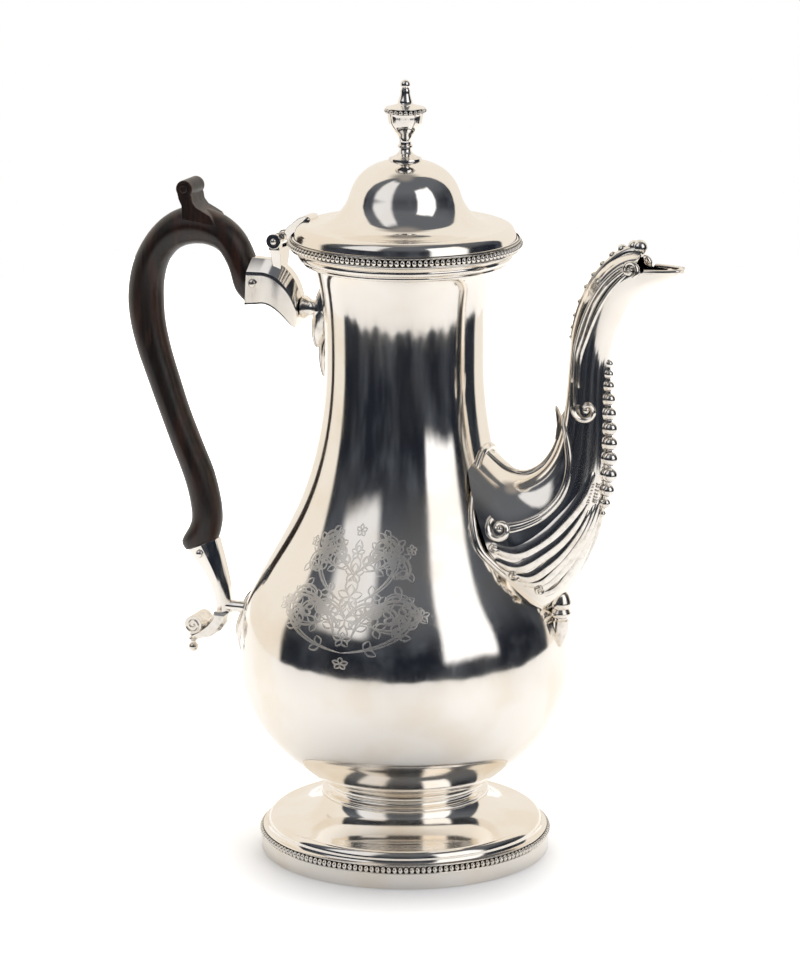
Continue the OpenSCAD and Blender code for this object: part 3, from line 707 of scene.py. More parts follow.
def makeSpout():
    shape = spoutShape
    bm = bmesh.new()
    count = 4 * (len(shape["sections"]) - 1)
    places = []
    for k in range(count + 1):
        middle, half, width = spoutSection(k / 4)
        places.append(ringMatrix(half * mm, Vector((0, width * mm, 0)), middle * mm))
    addRings(bm, places, shape["sides"])
    spout = placePiece("spoutShell", bm, polished, "pot",
                       ("spout_near_half", "spout_far_half"))
    passage = bmesh.new()
    places = []
    for k in range(count + 1):
        thicker = max(0, min(1, (k / 4 - shape["lipStart"]) / shape["lipRun"]))
        inset = shape["wall"] + (shape["lipWall"] - shape["wall"]) * thicker
        middle, half, width = spoutSection(min(k / 4, shape["passageEnd"]), inset)
        if k == 0:
            middle -= Vector((shape["passageStart"], 0, 0))
        places.append(ringMatrix(half * mm, Vector((0, width * mm, 0)), middle * mm))
    addRings(passage, places[:-2], shape["passageSides"])
    cutAway(spout, passage)
    mouth = bmesh.new()
    level = [(x, shape["lipHeight"]) for x in shape["lipEnd"]]
    addPrism(mouth, shape["mouth"] + level, shape["mouthHalfWidth"])
    cutAway(spout, mouth)
    low, high = shape["core"]
    core = turned([(0, low)] + [(r, z) for r, z in vesselCurve if low < z < high] + [(0, high)])
    cutAway(spout, core)


spoutOrnament = {
    # paths on the spout's side: (place along the spout, angle round it)
    "ribs": [
        [(0.3, 88), (0.9, 84), (2, 80), (2.8, 77), (3.6, 72), (4.4, 62), (5, 52), (5.6, 44)],
        [(0.2, 78), (0.8, 72), (1.6, 70), (2.5, 66), (3.2, 60), (4, 53), (4.7, 46)],
        [(0.6, 68), (1.2, 60), (2.1, 55), (2.8, 50), (3.6, 44), (4.4, 38)],
        [(0.9, 57), (1.6, 49), (2.4, 45), (3.1, 40), (3.8, 34), (4.6, 28)],
        [(1.2, 47), (1.9, 40), (2.7, 35), (3.5, 30), (4.2, 24), (4.8, 18)],
        [(1.3, 36), (2, 28), (2.8, 23), (3.7, 17), (4.5, 10)],
    ],
    "ribWidths": [3.3, 2.8, 2.6, 2.4, 2.2, 2.0],
    "ribHeight": 1.5,
    "curls": [0, 2, 4],
    "dots": [[(4.6, 47), (4.9, 44.6), (5.2, 42.6)], [(4.7, 31), (4.95, 29.5), (5.25, 28)]],
    "dotSteps": 3,              # dots from one point of a path to the next
    "dotRadius": 0.55,
    "dotLift": 0.7,
    # cord along the back, and how far each point of the leaf tip stands off it
    "backCord": [(0.3, 180), (1.5, 180), (3, 180), (4.4, 180), (5.6, 180), (6.4, 180)],
    "tip": [(5.7, 0.2), (6.3, 0.9), (6.7, 2), (7.0, 3.2), (7.15, 3.9)],
    "band": [(1.3, 103), (2.5, 100), (3.4, 96), (4.2, 93), (4.9, 94), (5.6, 102), (6.2, 119),
             (6.7, 145), (7.0, 166)],
    "ridges": [
        [(7.5, 106), (8.2, 109), (9.2, 112), (10.1, 103), (11.3, 102), (12.5, 101), (13.5, 102),
         (14.3, 106)],
        [(8.3, 122), (9.2, 122), (10.1, 117), (11.2, 114), (12.4, 113), (13.4, 115), (14.4, 120)],
        [(8.2, 97), (9.2, 100), (10.1, 91), (11.2, 87), (12.4, 85), (13.4, 88), (14.1, 94)],
    ],
    # scrolls: place on the spout, radius, turns, thickness, first direction and which way round
    "sideVolute": {"at": (0.95, 102), "radius": 4.9, "turns": 1.15, "wire": 1.5, "start": 235,
                   "spin": -1},
    "upperVolute": {"at": (7.53, 73), "radius": 4.8, "turns": 0.92, "wire": 1.3, "start": 195,
                    "spin": -1},
    "lipVolute": {"at": (14.55, 101), "radius": 3.3, "turns": 1.2, "wire": 1.05, "start": 60,
                  "spin": -1},
    "curlVolute": {"radius": 2.2, "turns": 0.9, "wire": 0.8, "start": 30, "spin": 1},
    "eye": 0.29,                # the ball in a scroll's middle, as a share of its radius
    "bandEdge": 2.4,            # degrees from the band's middle to its two edges
    # half width and half height of each kind of bar
    "bandEdgeBar": (0.95, 1.2),
    "bandBar": (1.7, 0.5),
    "ridgeBar": (0.85, 1.0),
    "backCordBar": (1.9, 1.5),
    "tipWidths": [2.2, 2.1, 1.8, 1.2, 0.3],
    "tipHeights": [1.2, 1.3, 1.1, 0.8, 0.3],
    # border of the shell where it meets the vessel: (degrees round from the spout, height)
    "border": [(0, 164.4), (8, 163.6), (14, 161), (19.5, 157.2), (22, 152.6), (26, 148), (29.5, 142),
               (31.2, 135.6), (31, 129.8), (27, 124.6), (21, 118.6), (14.5, 112.4), (7, 107.6),
               (0, 105.6)],
    "borderWidth": 1.5,
    "borderLift": 0.2,
}


def addSpoutBar(bm, path, side, width, height, ends):
    # a bar along a path on the spout, ends being its half widths at its two ends
    found = [spoutPoint(u, angle, side) for u, angle in smoothed(path, 6)]
    count = len(found)
    addBar(bm, [p for p, n in found], [n for p, n in found], tapers(count, width, ends),
           tapers(count, height, (0.3, 0.3)))


def addVolute(bm, shape, side):
    # a rolled scroll that stands on the spout, thick outside and thin at its eye
    centre, normal = spoutPoint(*shape["at"], side)
    right = upright.cross(normal).normalized() * -side
    down = normal.cross(right).normalized() * side
    points, widths = [], []
    count = 34              # steps along the scroll
    for k in range(count + 1):
        t = k / count
        angle = math.radians(shape["start"] + shape["spin"] * 360 * shape["turns"] * t)
        radius = shape["radius"] * (1 - 0.7 * t)
        raised = normal * (0.2 + 1.3 * t)
        points.append(centre + (right * math.cos(angle) * radius + down * math.sin(angle) * radius
                                + raised) * mm)
        widths.append(shape["wire"] * (1 - 0.45 * t) * mm)
    addBar(bm, points, [normal] * len(points), widths, [w * 1.25 for w in widths])
    addBall(bm, centre + normal * mm, shape["radius"] * spoutOrnament["eye"], 20, 12)


def makeSpoutOrnament():
    shape = spoutOrnament
    bm = bmesh.new()
    for side in (-1, 1):
        for i, (path, width) in enumerate(zip(shape["ribs"], shape["ribWidths"])):
            addSpoutBar(bm, path, side, width, shape["ribHeight"], (1.2, 0.6))
            if i in shape["curls"]:
                u, angle = path[0]
                addVolute(bm, {"at": (u + 0.12, angle - 1), **shape["curlVolute"]}, side)
        for path in shape["dots"]:
            for u, angle in smoothed(path, shape["dotSteps"]):
                spot = spoutPoint(u, angle, side, shape["dotLift"])[0]
                addBall(bm, spot, shape["dotRadius"], 10, 6)
        for offset in (-shape["bandEdge"], shape["bandEdge"]):
            path = [(u, angle + offset) for u, angle in shape["band"]]
            addSpoutBar(bm, path, side, *shape["bandEdgeBar"], (0.8, 0.5))
        addSpoutBar(bm, shape["band"], side, *shape["bandBar"], (1.2, 0.5))
        for path in shape["ridges"]:
            addSpoutBar(bm, path, side, *shape["ridgeBar"], (0.5, 0.6))
        border = [vesselPoint(math.radians(side * around), z, shape["borderLift"])
                  for around, z in smoothed(shape["border"], 5)]
        addWire(bm, [p for p, n in border], [n for p, n in border], shape["borderWidth"],
                shape["borderWidth"])
        for key in ("sideVolute", "upperVolute", "lipVolute"):
            addVolute(bm, shape[key], side)
    addSpoutBar(bm, shape["backCord"], 1, *shape["backCordBar"], (1.7, 1.2))
    tip = [spoutPoint(u, 180, 1, lift) for u, lift in shape["tip"]]
    addBar(bm, [p for p, n in tip], [n for p, n in tip], [w * mm for w in shape["tipWidths"]],
           [h * mm for h in shape["tipHeights"]], 14)
    placePiece("spoutShells", bm, castSilver, "pot")


lipShape = {
    "steps": 46,        # on each side of the seam
    "turn": 2.3,        # degrees from step to step
    "start": 12.5,      # section of the spout where the search for the edge starts
    "last": 16.9,
    "sunk": 0.5,
    "behind": 97.5,     # the wire stops here, under the hood
    "width": 0.95,
    "height": 0.85,
}


def makeLip():
    # a rounded wire along the cut edge of the lip
    shape = lipShape
    points = []
    for k in range(-shape["steps"], shape["steps"] + 1):
        angle = abs(k) * shape["turn"]
        low, high = shape["start"], spoutEnd
        for halving in range(18):
            middle = (low + high) / 2
            if spoutPoint(middle, angle)[0].z < spoutShape["lipHeight"] * mm:
                low = middle
            else:
                high = middle
        spot = spoutPoint(low, angle, 1 if k > 0 else -1, -shape["sunk"])[0]
        if spot.x > shape["behind"] * mm and low < shape["last"]:
            points.append(spot)
    bm = bmesh.new()
    addWire(bm, points, [upright] * len(points), shape["width"], shape["height"], 12)
    placePiece("spoutLip", bm, castSilver, "pot")


beadRow = {
    # x, height and radius of each bead
    "beads": [(82.8, 200.8, 1.6), (82.8, 196.8, 1.8), (82.9, 192.2, 2.1), (83.1, 187, 2.4),
              (83.4, 181.4, 2.6), (83.7, 175.6, 2.7), (83.8, 169.8, 2.8), (83.8, 163.8, 2.9),
              (83.6, 157.4, 3), (82.9, 151.4, 2.6), (81.9, 146.2, 2.1), (80.7, 142, 1.5)],
    "stem": 1.1,
    "stemBehind": 0.4,
}


def makeBeadRow():
    # graduated beads over the front seam, on a thin stem
    bm = bmesh.new()
    for x, z, radius in beadRow["beads"]:
        addBall(bm, (x * mm, 0, z * mm), radius, 28, 16)
    stem = [Vector((x - beadRow["stemBehind"], 0, z)) * mm for x, z, radius in beadRow["beads"]]
    addWire(bm, stem, [Vector((1, 0, 0))] * len(stem), beadRow["stem"], beadRow["stem"])
    placePiece("spoutBeads", bm, castSilver, "pot", ("spout_bead_row",))


crestShape = {
    # inner x, z, outer x, z and half width
    "sections": [(70, 208, 67, 209, 0.8), (71, 213, 67.6, 214, 1.8), (73.4, 219, 69.4, 221.5, 2.2),
                 (77, 227, 73, 230.2, 2.4), (81.4, 233.4, 77.6, 237.4, 2.6),
                 (86.6, 239, 83.4, 243.3, 2.9), (91, 242, 89, 246.8, 3.2),
                 (93.4, 242.4, 93.4, 247.4, 3.2), (95.4, 242.6, 96.2, 246.4, 2.4)],
    "slim": (0.92, 0.9),    # shares of the depth and the width left to the bar under the knobs
    "knobs": 11,
    "firstKnob": 0.04,
    "lastKnob": 0.9,
    "knobSunk": 0.16,
}


def makeCrest():
    shape = crestShape
    bm = bmesh.new()
    rows = smoothed(shape["sections"], 3)
    deep, wide = shape["slim"]
    addRings(bm, [sectionMatrix(x1, z1, x0, z0, width * wide, deep)
                  for x0, z0, x1, z1, width in rows], 16)
    count = shape["knobs"]
    for k in range(count):
        t = k / (count - 1)
        along = shape["firstKnob"] + (shape["lastKnob"] - shape["firstKnob"]) * t
        x0, z0, x1, z1, width = rows[round(along * (len(rows) - 1))]
        # the knobs grow towards the lip, and the last one stands out
        radius = 0.95 + t + 0.95 * t**6
        sunk = shape["knobSunk"]
        spot = Vector((x1 - (x1 - x0) * sunk, 0, z1 - (z1 - z0) * sunk)) * mm
        addBall(bm, spot, radius, 18, 10)
    placePiece("spoutCrest", bm, castSilver, "pot", ("spout_crest",))


dropShape = {
    "x": 64.2,
    "runs": [[(0, 87.6), (0.7, 87.9), (1.6, 90), (2.9, 93.2), (3.2, 93.6)],
             [(3.2, 93.6), (3.4, 95.6), (3.4, 98.2)], [(3.4, 98.2), (2.7, 98.7), (2.7, 99.3)],
             [(2.7, 99.3), (3.7, 99.9), (4.2, 101.1), (3.8, 102.2), (3.4, 103)],
             [(3.4, 103), (4.1, 104.2), (4.2, 105.6), (3, 109), (0, 111.5)]],
}

makeSpout()
makeSpoutOrnament()
makeLip()
makeBeadRow()
makeCrest()
placePiece("spoutDrop", turned(runsProfile(dropShape["runs"]), 56, (dropShape["x"], 0)), castSilver,
           "pot", ("spout_drop",))
print("spout made")


handleShape = {
    # outer x, z, inner x, z and half width, from the upper socket round to the lower
    "sections": [
        (-63, 232.4, -65.6, 213.8, 6.6), (-65.4, 238, -70, 218.4, 6.9),
        (-69.4, 243.2, -72.4, 226.6, 7), (-74.4, 247, -76.4, 233.4, 7),
        (-80.4, 249.6, -81.6, 235.8, 7), (-87.4, 250.6, -87.2, 236, 7),
        (-95, 249.2, -92.8, 234.6, 7), (-102.2, 244.8, -97.2, 231.4, 7),
        (-108.8, 237.4, -100.4, 226.2, 7), (-113.8, 227.8, -102, 219.4, 7),
        (-116.2, 216.4, -102.2, 211.8, 7), (-115.8, 205.4, -101.6, 203.2, 7),
        (-113, 193.6, -99.4, 193, 7), (-108.4, 181, -96, 182, 6.9),
        (-103, 167, -91.6, 168.8, 6.8), (-97.8, 153.6, -86.2, 155.8, 6.7),
        (-93.2, 142, -81.4, 144.6, 6.6), (-90.6, 132, -78.6, 133.8, 6.4),
        (-90.4, 124, -77.8, 126.2, 6.2), (-94.6, 115.9, -78.4, 121.2, 6),
        (-92.8, 112, -79.4, 118, 5.4)],
    "scrollAt": (-89.8, 258.2),
    "scrollRadius": 3.4,
    "scrollHalfWidth": 6.5,
    "scrollEye": 1.6,
    "tongue": [(-76, 244), (-79, 248.2), (-82, 249.8), (-84.8, 251.2), (-86.4, 253.2),
               (-86.8, 255.6)],
    "tongueBack": [(-92.2, 254.2), (-91, 251.6), (-91, 246)],
    "sides": 32,
    "swell": 1.03,          # share of the width left at the two seams and in the middle
    "waist": 0.16,          # how much the sides are drawn in between them
}


def makeHandle():
    shape = handleShape
    bm = bmesh.new()
    places = [sectionMatrix(*row) for row in smoothed(shape["sections"], 4)]
    rings = addRings(bm, places, shape["sides"])
    for place, ring in zip(places, rings):
        outward = place.col[0].to_3d()
        for vert in ring:
            # a soft ridge down the middle of each side
            depth = abs((vert.co - place.translation).dot(outward) / outward.length_squared)
            depth = min(1, depth)
            vert.co.y *= shape["swell"] - shape["waist"] * depth * (1 - depth)
    x, z = shape["scrollAt"]
    tongue = shape["tongue"] + arc((x, z), shape["scrollRadius"], -38, 212, 22)
    addPrism(bm, tongue + shape["tongueBack"], shape["scrollHalfWidth"])
    addPin(bm, x, z, shape["scrollEye"], shape["scrollHalfWidth"] + 0.5, 24)
    placePiece("handleGrip", bm, carvedWood, "pot", ("handle",), 32, 0.5)


socketShape = {
    # (x, z) along the top, (x, z) along the underside and part of the full width
    "upper": [(-63, 232.4, -65.6, 213.8, 1), (-59, 232.4, -61, 214.3, 1),
              (-55.4, 232.2, -57.8, 214.7, 1), (-51.6, 231, -54.8, 214, 1),
              (-48.4, 228.8, -51.8, 212.2, 1), (-45.6, 225.6, -49.4, 210.2, 0.98),
              (-43.6, 221.6, -47.4, 208.2, 0.95), (-42.3, 216.6, -45.8, 206.6, 0.9),
              (-42.2, 212.4, -44.6, 206.2, 0.82)],
    "upperHalfWidth": 6.6,
    "upperCorners": [(0.36, 1), (0.97, 0.5), (1, 0.47), (1, 0.3), (0.68, -0.9), (0.68, -1)],
    "upperPin": (-61.2, 223),
    "lower": [(-91.4, 112.6, -79.4, 118, 1), (-88.2, 108.6, -78, 113.2, 0.96),
              (-85, 104.2, -76.6, 108.2, 0.88), (-82.4, 99.6, -75.2, 102.8, 0.76),
              (-80.8, 95, -74.2, 97.6, 0.64), (-80, 91, -73.6, 92.4, 0.56),
              (-79.8, 88, -74, 88, 0.52)],
    "lowerHalfWidth": 5.2,
    "lowerCorners": [(0.45, 1), (0.55, 0.9), (0.97, 0.1), (0.97, -0.1), (0.55, -0.9), (0.45, -1)],
    "lowerPin": (-85.4, 112),
    "arm": [(-80.4, 88.2), (-81.4, 85.6), (-83.6, 83), (-86.6, 80.6), (-91, 78.2), (-90.6, 77),
            (-87, 76.4), (-82, 77.6), (-77.6, 80.8), (-74.8, 84.6), (-74.2, 88.2)],
    "armHalfWidth": 4.2,
    "roll": (-88.2, 82.8, 3.6, 6),      # x, z, radius and half length
    "dropX": -90.6,
    "drop": [[(0, 80), (1.2, 79), (1.3, 76.6), (1.9, 75.8), (1.9, 75.2), (1.1, 74.6)],
             arc((0, 72.1), 2.1, 60, -90, 12)],
    "chamfer": 1.2,
    "scrollWire": (0.45, 0.5),
    "scrollSteps": 25,
    "pinRadius": 1.6,
    "pinHead": 1.55,
    "headFlat": 0.6,
    "upperPinHalf": 6.8,
    "lowerPinHalf": 5.4,
}


def addSocket(bm, sections, halfWidth, corners):
    # faceted bar: each ring's corners are given for one side, from the top down
    loop = corners + [(-across, along) for across, along in corners[::-1]]
    rings = []
    for x0, z0, x1, z1, wide in smoothed(sections, 3):
        ring = bmesh.ops.create_circle(bm, segments=len(loop), radius=1)["verts"]
        for vert, (across, along) in zip(ring, loop):
            x = (x0 + x1) / 2 + (x0 - x1) / 2 * along
            z = (z0 + z1) / 2 + (z0 - z1) / 2 * along
            vert.co = Vector((x, across * halfWidth * wide, z)) * mm
        rings.append(ring)
    for a, b in zip(rings, rings[1:]):
        edges = {e for v in a + b for e in v.link_edges if len(e.link_faces) < 2}
        edges = [e for e in edges if set(e.verts) <= set(a) or set(e.verts) <= set(b)]
        bmesh.ops.bridge_loops(bm, edges=edges)
    for ring in (rings[0], rings[-1]):
        bmesh.ops.contextual_create(bm, geom=ring)


def addFaceted(bm, outline, halfWidth, ridge):
    # a flat bar whose long edges are cut off
    addPrism(bm, outline, halfWidth)
    edges = [e for e in bm.edges if abs(e.verts[0].co.y - e.verts[1].co.y) < 1e-7
             and abs(abs(e.verts[0].co.y) - halfWidth * mm) < 1e-6]
    bmesh.ops.bevel(bm, geom=edges, offset=ridge * mm, offset_type="OFFSET", segments=1,
                    profile=0.5, affect="EDGES", material=-1)


def makeSockets():
    shape = socketShape
    for end in ("upper", "lower"):
        bm = bmesh.new()
        addSocket(bm, shape[end], shape[end + "HalfWidth"], shape[end + "Corners"])
        placePiece(end + "Socket", bm, polished, "pot", (end + "_socket",), 25, 0.25)
    bm = bmesh.new()
    addFaceted(bm, shape["arm"], shape["armHalfWidth"], shape["chamfer"])
    x, z, radius, half = shape["roll"]
    addPin(bm, x, z, radius, half, 40)
    for side in (-1, 1):
        # a spiral wire on each end of the roll
        points = []
        for k in range(shape["scrollSteps"] + 1):
            t = k / shape["scrollSteps"]
            angle = math.radians(200 + 560 * t)
            reach = radius * (0.86 - 0.74 * t)
            across, up = reach * math.cos(angle), reach * math.sin(angle)
            points.append(Vector((x + across, side * half, z + up)) * mm)
        addWire(bm, points, [Vector((0, side, 0))] * len(points), *shape["scrollWire"], 8)
    placePiece("terminalScroll", bm, castSilver, "pot", ("terminal_scroll",), 30, 0.35)
    placePiece("terminalDrop", turned(runsProfile(shape["drop"]), 48, (shape["dropX"], 0)),
               castSilver, "pot", ("terminal_drop",))
    for end in ("upper", "lower"):
        x, z = shape[end + "Pin"]
        half = shape[end + "PinHalf"]
        bm = bmesh.new()
        addPin(bm, x, z, shape["pinRadius"], half, 36)
        for side in (-1, 1):
            addBall(bm, (x * mm, side * half * mm, z * mm), shape["pinHead"], 24, 12,
                    (1, shape["headFlat"], 1))
        placePiece(end + "Pin", bm, castSilver, "pot", (end + "_handle_pin",))


strutShape = {
    # where each starts, and radius and distance along it
    "upperAt": (-42.2, 213.8),
    "upper": [(0, 0), (4.6, 0), (4.8, 0.8), (4.2, 1.8), (3.4, 2.8), (3.2, 4.4), (3.8, 5.8),
              (4.4, 6.6), (4.4, 12), (0, 12)],
    "lowerAt": (-76, 90.6),
    "lower": [(0, 0), (2.4, 0), (2.4, 12.5), (0, 12.5)],
}


def makeStruts():
    for end in ("upper", "lower"):
        x, z = strutShape[end + "At"]
        bm = bmesh.new()
        corners = [bm.verts.new(((x + d) * mm, 0, (z + r) * mm)) for r, d in strutShape[end]]
        line = [bm.edges.new(pair) for pair in zip(corners, corners[1:])]
        bmesh.ops.spin(bm, geom=corners + line, cent=(x * mm, 0, z * mm), axis=(1, 0, 0),
                       dvec=(0, 0, 0), angle=2 * math.pi, steps=48, use_merge=True)
        placePiece(end + "Strut", bm, castSilver, "pot", (end + "_strut",))


leafShape = {
    # outer x, inner x, height and half width down each leaf
    "upper": [[(-34.4, -29.6, 223, 2.6), (-36.6, -29.8, 218, 4.2), (-38, -30, 211, 4.4),
               (-38.4, -31, 205, 3.7), (-38, -33.4, 201, 2.4), (-37.2, -35.8, 198.4, 0.6)],
              [(-33, -29, 204, 2.6), (-35.2, -30, 199.6, 3.2), (-35.3, -30, 194, 2.8),
               (-34.9, -31, 190, 1.8), (-34.1, -32.8, 186.9, 0.5)]],
    "lower": [[(-64.4, -60, 98.6, 2.6), (-67.4, -61, 94.6, 4), (-69, -62, 90, 4.2),
               (-70.8, -63, 85.4, 3.4), (-71.9, -66, 81, 2.2), (-71.4, -69.8, 78, 0.6)],
              [(-66, -62, 88, 2.6), (-69, -63, 83, 3.2), (-70.6, -64, 78, 2.6),
               (-70.5, -66, 75, 1.5), (-69.9, -68.8, 72.4, 0.5)]],
    "upperMiddle": 205,
    "lowerMiddle": 86,
    # height of each side lobe over the middle, and how far it reaches round the vessel
    "lobes": [(12, 4.2), (4, 6), (-4, 5.6), (-11, 3.6)],
    "lobeSteps": 9,
}


def makeLeaves():
    for end in ("upper", "lower"):
        middleHeight = leafShape[end + "Middle"]
        bm = bmesh.new()
        for sections in leafShape[end]:
            places = [sectionMatrix(x1, z, x0, z, width)
                      for x0, x1, z, width in smoothed(sections, 4)]
            leaf = bmesh.new()
            addRings(leaf, places, 24)
            bmesh.ops.recalc_face_normals(leaf, faces=leaf.faces)
            join(bm, leaf)
            spine = [Vector((x0 - 0.1, 0, z)) * mm for x0, x1, z, width in smoothed(sections, 3)]
            addBar(bm, spine, [Vector((-1, 0, 0))] * len(spine), tapers(len(spine), 0.6, (0.3, 0.2)),
                   tapers(len(spine), 0.5, (0.3, 0.2)), 8)
        # side lobes lie flat on the vessel
        for side in (-1, 1):
            for drop, reach in leafShape["lobes"]:
                points, normals = [], []
                steps = leafShape["lobeSteps"]
                for k in range(steps):
                    t = k / (steps - 1)
                    z = middleHeight + drop - 5 * t * t
                    angle = math.pi + side * (0.5 + reach * t) / vesselRadius(z)
                    point, normal = vesselPoint(angle, z, 0.4)
                    points.append(point)
                    normals.append(normal)
                addBar(bm, points, normals, tapers(steps, 2.1, (2, 0.9)),
                       tapers(steps, 1.2, (1.2, 0.5)), 12)
        placePiece(end + "Leaf", bm, castSilver, "pot", (end + "_plate",), 40)


hingeShape = {
    "x": -52.4, "z": 239.9, "knuckle": 2.6, "barrel": 11.6, "lidKnuckle": 4.2, "pin": 1.1,
    # post under the barrel: height, x of its two sides and half width
    "post": [(225.4, -53.6, -50.4, 3.3), (229, -53.6, -50.3, 3.7), (233, -54, -49.9, 4.6),
             (237.2, -54.6, -49.8, 5.7)],
    "endRadius": 3.05,
    "endThickness": 0.8,
    "clearance": 0.15,
    "cheek": (4.4, 3.4, 238),   # width, height and middle height of the block under the knuckles
    "pinHead": 1.25,
    "pinHeadFlat": 0.8,
    # strap over the lid's edge, which is narrower at its foot
    "strap": [(-49.3, 240.6), (-49.3, 243.4), (-47.6, 245.6), (-45, 247.8), (-42.4, 249.5),
              (-40, 250.4), (-38.4, 250.3), (-37.6, 249.4), (-38.6, 247), (-42.4, 246),
              (-43.4, 243.6), (-43.5, 240.6)],
    "strapHalfWidth": 4.4,
    "strapFoot": 0.6,           # share of the width at the foot
    "strapHeights": (240, 250.4),
}


def makeHinge():
    shape = hingeShape
    x, z, radius = shape["x"], shape["z"], shape["knuckle"]
    inner, outer = shape["lidKnuckle"] / 2 + shape["clearance"], shape["barrel"] / 2
    cheekWidth, cheekHeight, cheekMiddle = shape["cheek"]
    bm = bmesh.new()
    for side in (-1, 1):
        middle, length = side * (inner + outer) / 2, outer - inner
        addPin(bm, x, z, radius, length / 2, 40, middle)
        addPin(bm, x, z, shape["endRadius"], shape["endThickness"] / 2, 40, side * (outer - 0.1))
        cheek = Matrix.Translation(((x + 0.2) * mm, middle * mm, cheekMiddle * mm))
        bmesh.ops.create_cube(bm, size=1, matrix=cheek @ Matrix.Diagonal(
            (cheekWidth * mm, length * mm, cheekHeight * mm, 1)))
    square = Matrix.Rotation(math.pi / 4, 4, "Z")
    places = []
    for height, x0, x1, wide in shape["post"]:
        across = Vector(((x1 - x0) / math.sqrt(2) * mm, 0, 0))
        places.append(ringMatrix(across, Vector((0, wide * math.sqrt(2) * mm, 0)),
                                 Vector(((x0 + x1) / 2, 0, height)) * mm) @ square)
    addRings(bm, places, 4)
    placePiece("hingeBracket", bm, turnedSilver, "pot", ("hinge_bracket",), 30, 0.35)
    bm = bmesh.new()
    addPin(bm, x, z, shape["pin"], outer + 0.3, 24)
    for side in (-1, 1):
        spot = Vector((x, side * (outer + 0.2), z)) * mm
        addBall(bm, spot, shape["pinHead"], 20, 10, (1, shape["pinHeadFlat"], 1))
    placePiece("hingePin", bm, castSilver, "pot", ("hinge_pin",))
    bm = bmesh.new()
    addPin(bm, x, z, radius, shape["lidKnuckle"] / 2, 40)
    addPrism(bm, [(x, z), (x, z + radius), (-49, z + radius + 0.9), (-49, z + 0.6)],
             shape["lidKnuckle"] / 2)
    strap = bmesh.new()
    addPrism(strap, shape["strap"], shape["strapHalfWidth"])
    low, high = shape["strapHeights"]
    for vert in strap.verts:
        up = (vert.co.z / mm - low) / (high - low)
        vert.co.y *= shape["strapFoot"] + (1 - shape["strapFoot"]) * up
    bmesh.ops.recalc_face_normals(strap, faces=strap.faces)
    join(bm, strap)
    placePiece("lidHingeLeaf", bm, turnedSilver, "lid", ("lid_hinge_leaf",), 34, 0.25)


makeHandle()
makeSockets()
makeStruts()
makeLeaves()
makeHinge()
print("handle, sockets and hinge made")


engraving = {
    "facing": -92,      # direction it faces, round the vessel
    "height": 114,
    "stroke": 0.42,
    "ribbon": 0.85,     # how far apart the two lines of a stem are in its middle
    # scroll stems: start across and up, heading, length, curl at the end, mirrored
    "stems": [
        (0, -24, 8, 56, 12.5), (1, -14, 60, 44, -12), (2, -2, 25, 50, 12.5), (0, 10, 52, 40, -13),
        (4, 12, 5, 34, 14), (8, -10, -38, 26, 15), (17, 10, 88, 26, 15), (3, -18, 84, 34, -14),
        (0, -8, 118, 24, 17)],
    "centre": [(-18, 3.6), (-9, 5), (1, 5.4), (11, 4.6), (20, 3.4)],
    # flowers: across (mirrored), up and size
    "sprigs": [(28, -6, 3), (25, 22, 2.6)],
    "ends": [(-29, 3), (30, 3)],
    "squash": 0.8,
    "depth": 0.07,
    "leafEvery": 5,
    "leafTurn": 50,
    "leaf": 4.6,
}


def engravedPoint(across, up):
    z = engraving["height"] + up * engraving["squash"]
    angle = math.radians(engraving["facing"]) + across / vesselRadius(engraving["height"])
    return vesselPoint(angle, z, 0.0)


def addStroke(bm, spots, width):
    found = [engravedPoint(a, b) for a, b in spots]
    count = len(found)
    addBar(bm, [p for p, n in found], [n for p, n in found], tapers(count, width, (0.06, 0.05)),
           [engraving["depth"] * mm] * count, 6)


def stemSpots(across, up, heading, length, curl, side):
    # a stem that tightens into a scroll
    spots = [(side * across, up)]
    steps = 26
    for k in range(steps):
        t = k / steps
        heading += curl * (0.25 + 2.6 * t * t)
        step = length / steps * (1.35 - 0.75 * t)
        across += math.cos(math.radians(heading)) * step
        up += math.sin(math.radians(heading)) * step
        spots.append((side * across, up))
    return spots


def addLeaf(bm, across, up, heading, size):
    for bend in (-1, 1):
        spots = []
        for k in range(8):
            t = k / 7
            bulge = math.sin(math.pi * t) * size * 0.28 * bend
            a = math.radians(heading)
            spots.append((across + math.cos(a) * size * t - math.sin(a) * bulge,
                          up + math.sin(a) * size * t + math.cos(a) * bulge))
        addStroke(bm, spots, engraving["stroke"])


def addFlower(bm, across, up, size):
    for k in range(5):
        addLeaf(bm, across, up, 90 + 72 * k, size)


def beside(spots, distance):
    # the same line moved sideways, most in its middle
    moved = []
    last = len(spots) - 1
    for i, (a, b) in enumerate(spots):
        (a0, b0), (a1, b1) = spots[max(0, i - 1)], spots[min(last, i + 1)]
        length = math.hypot(a1 - a0, b1 - b0)
        shift = distance * math.sin(math.pi * i / last) / length
        moved.append((a - (b1 - b0) * shift, b + (a1 - a0) * shift))
    return moved


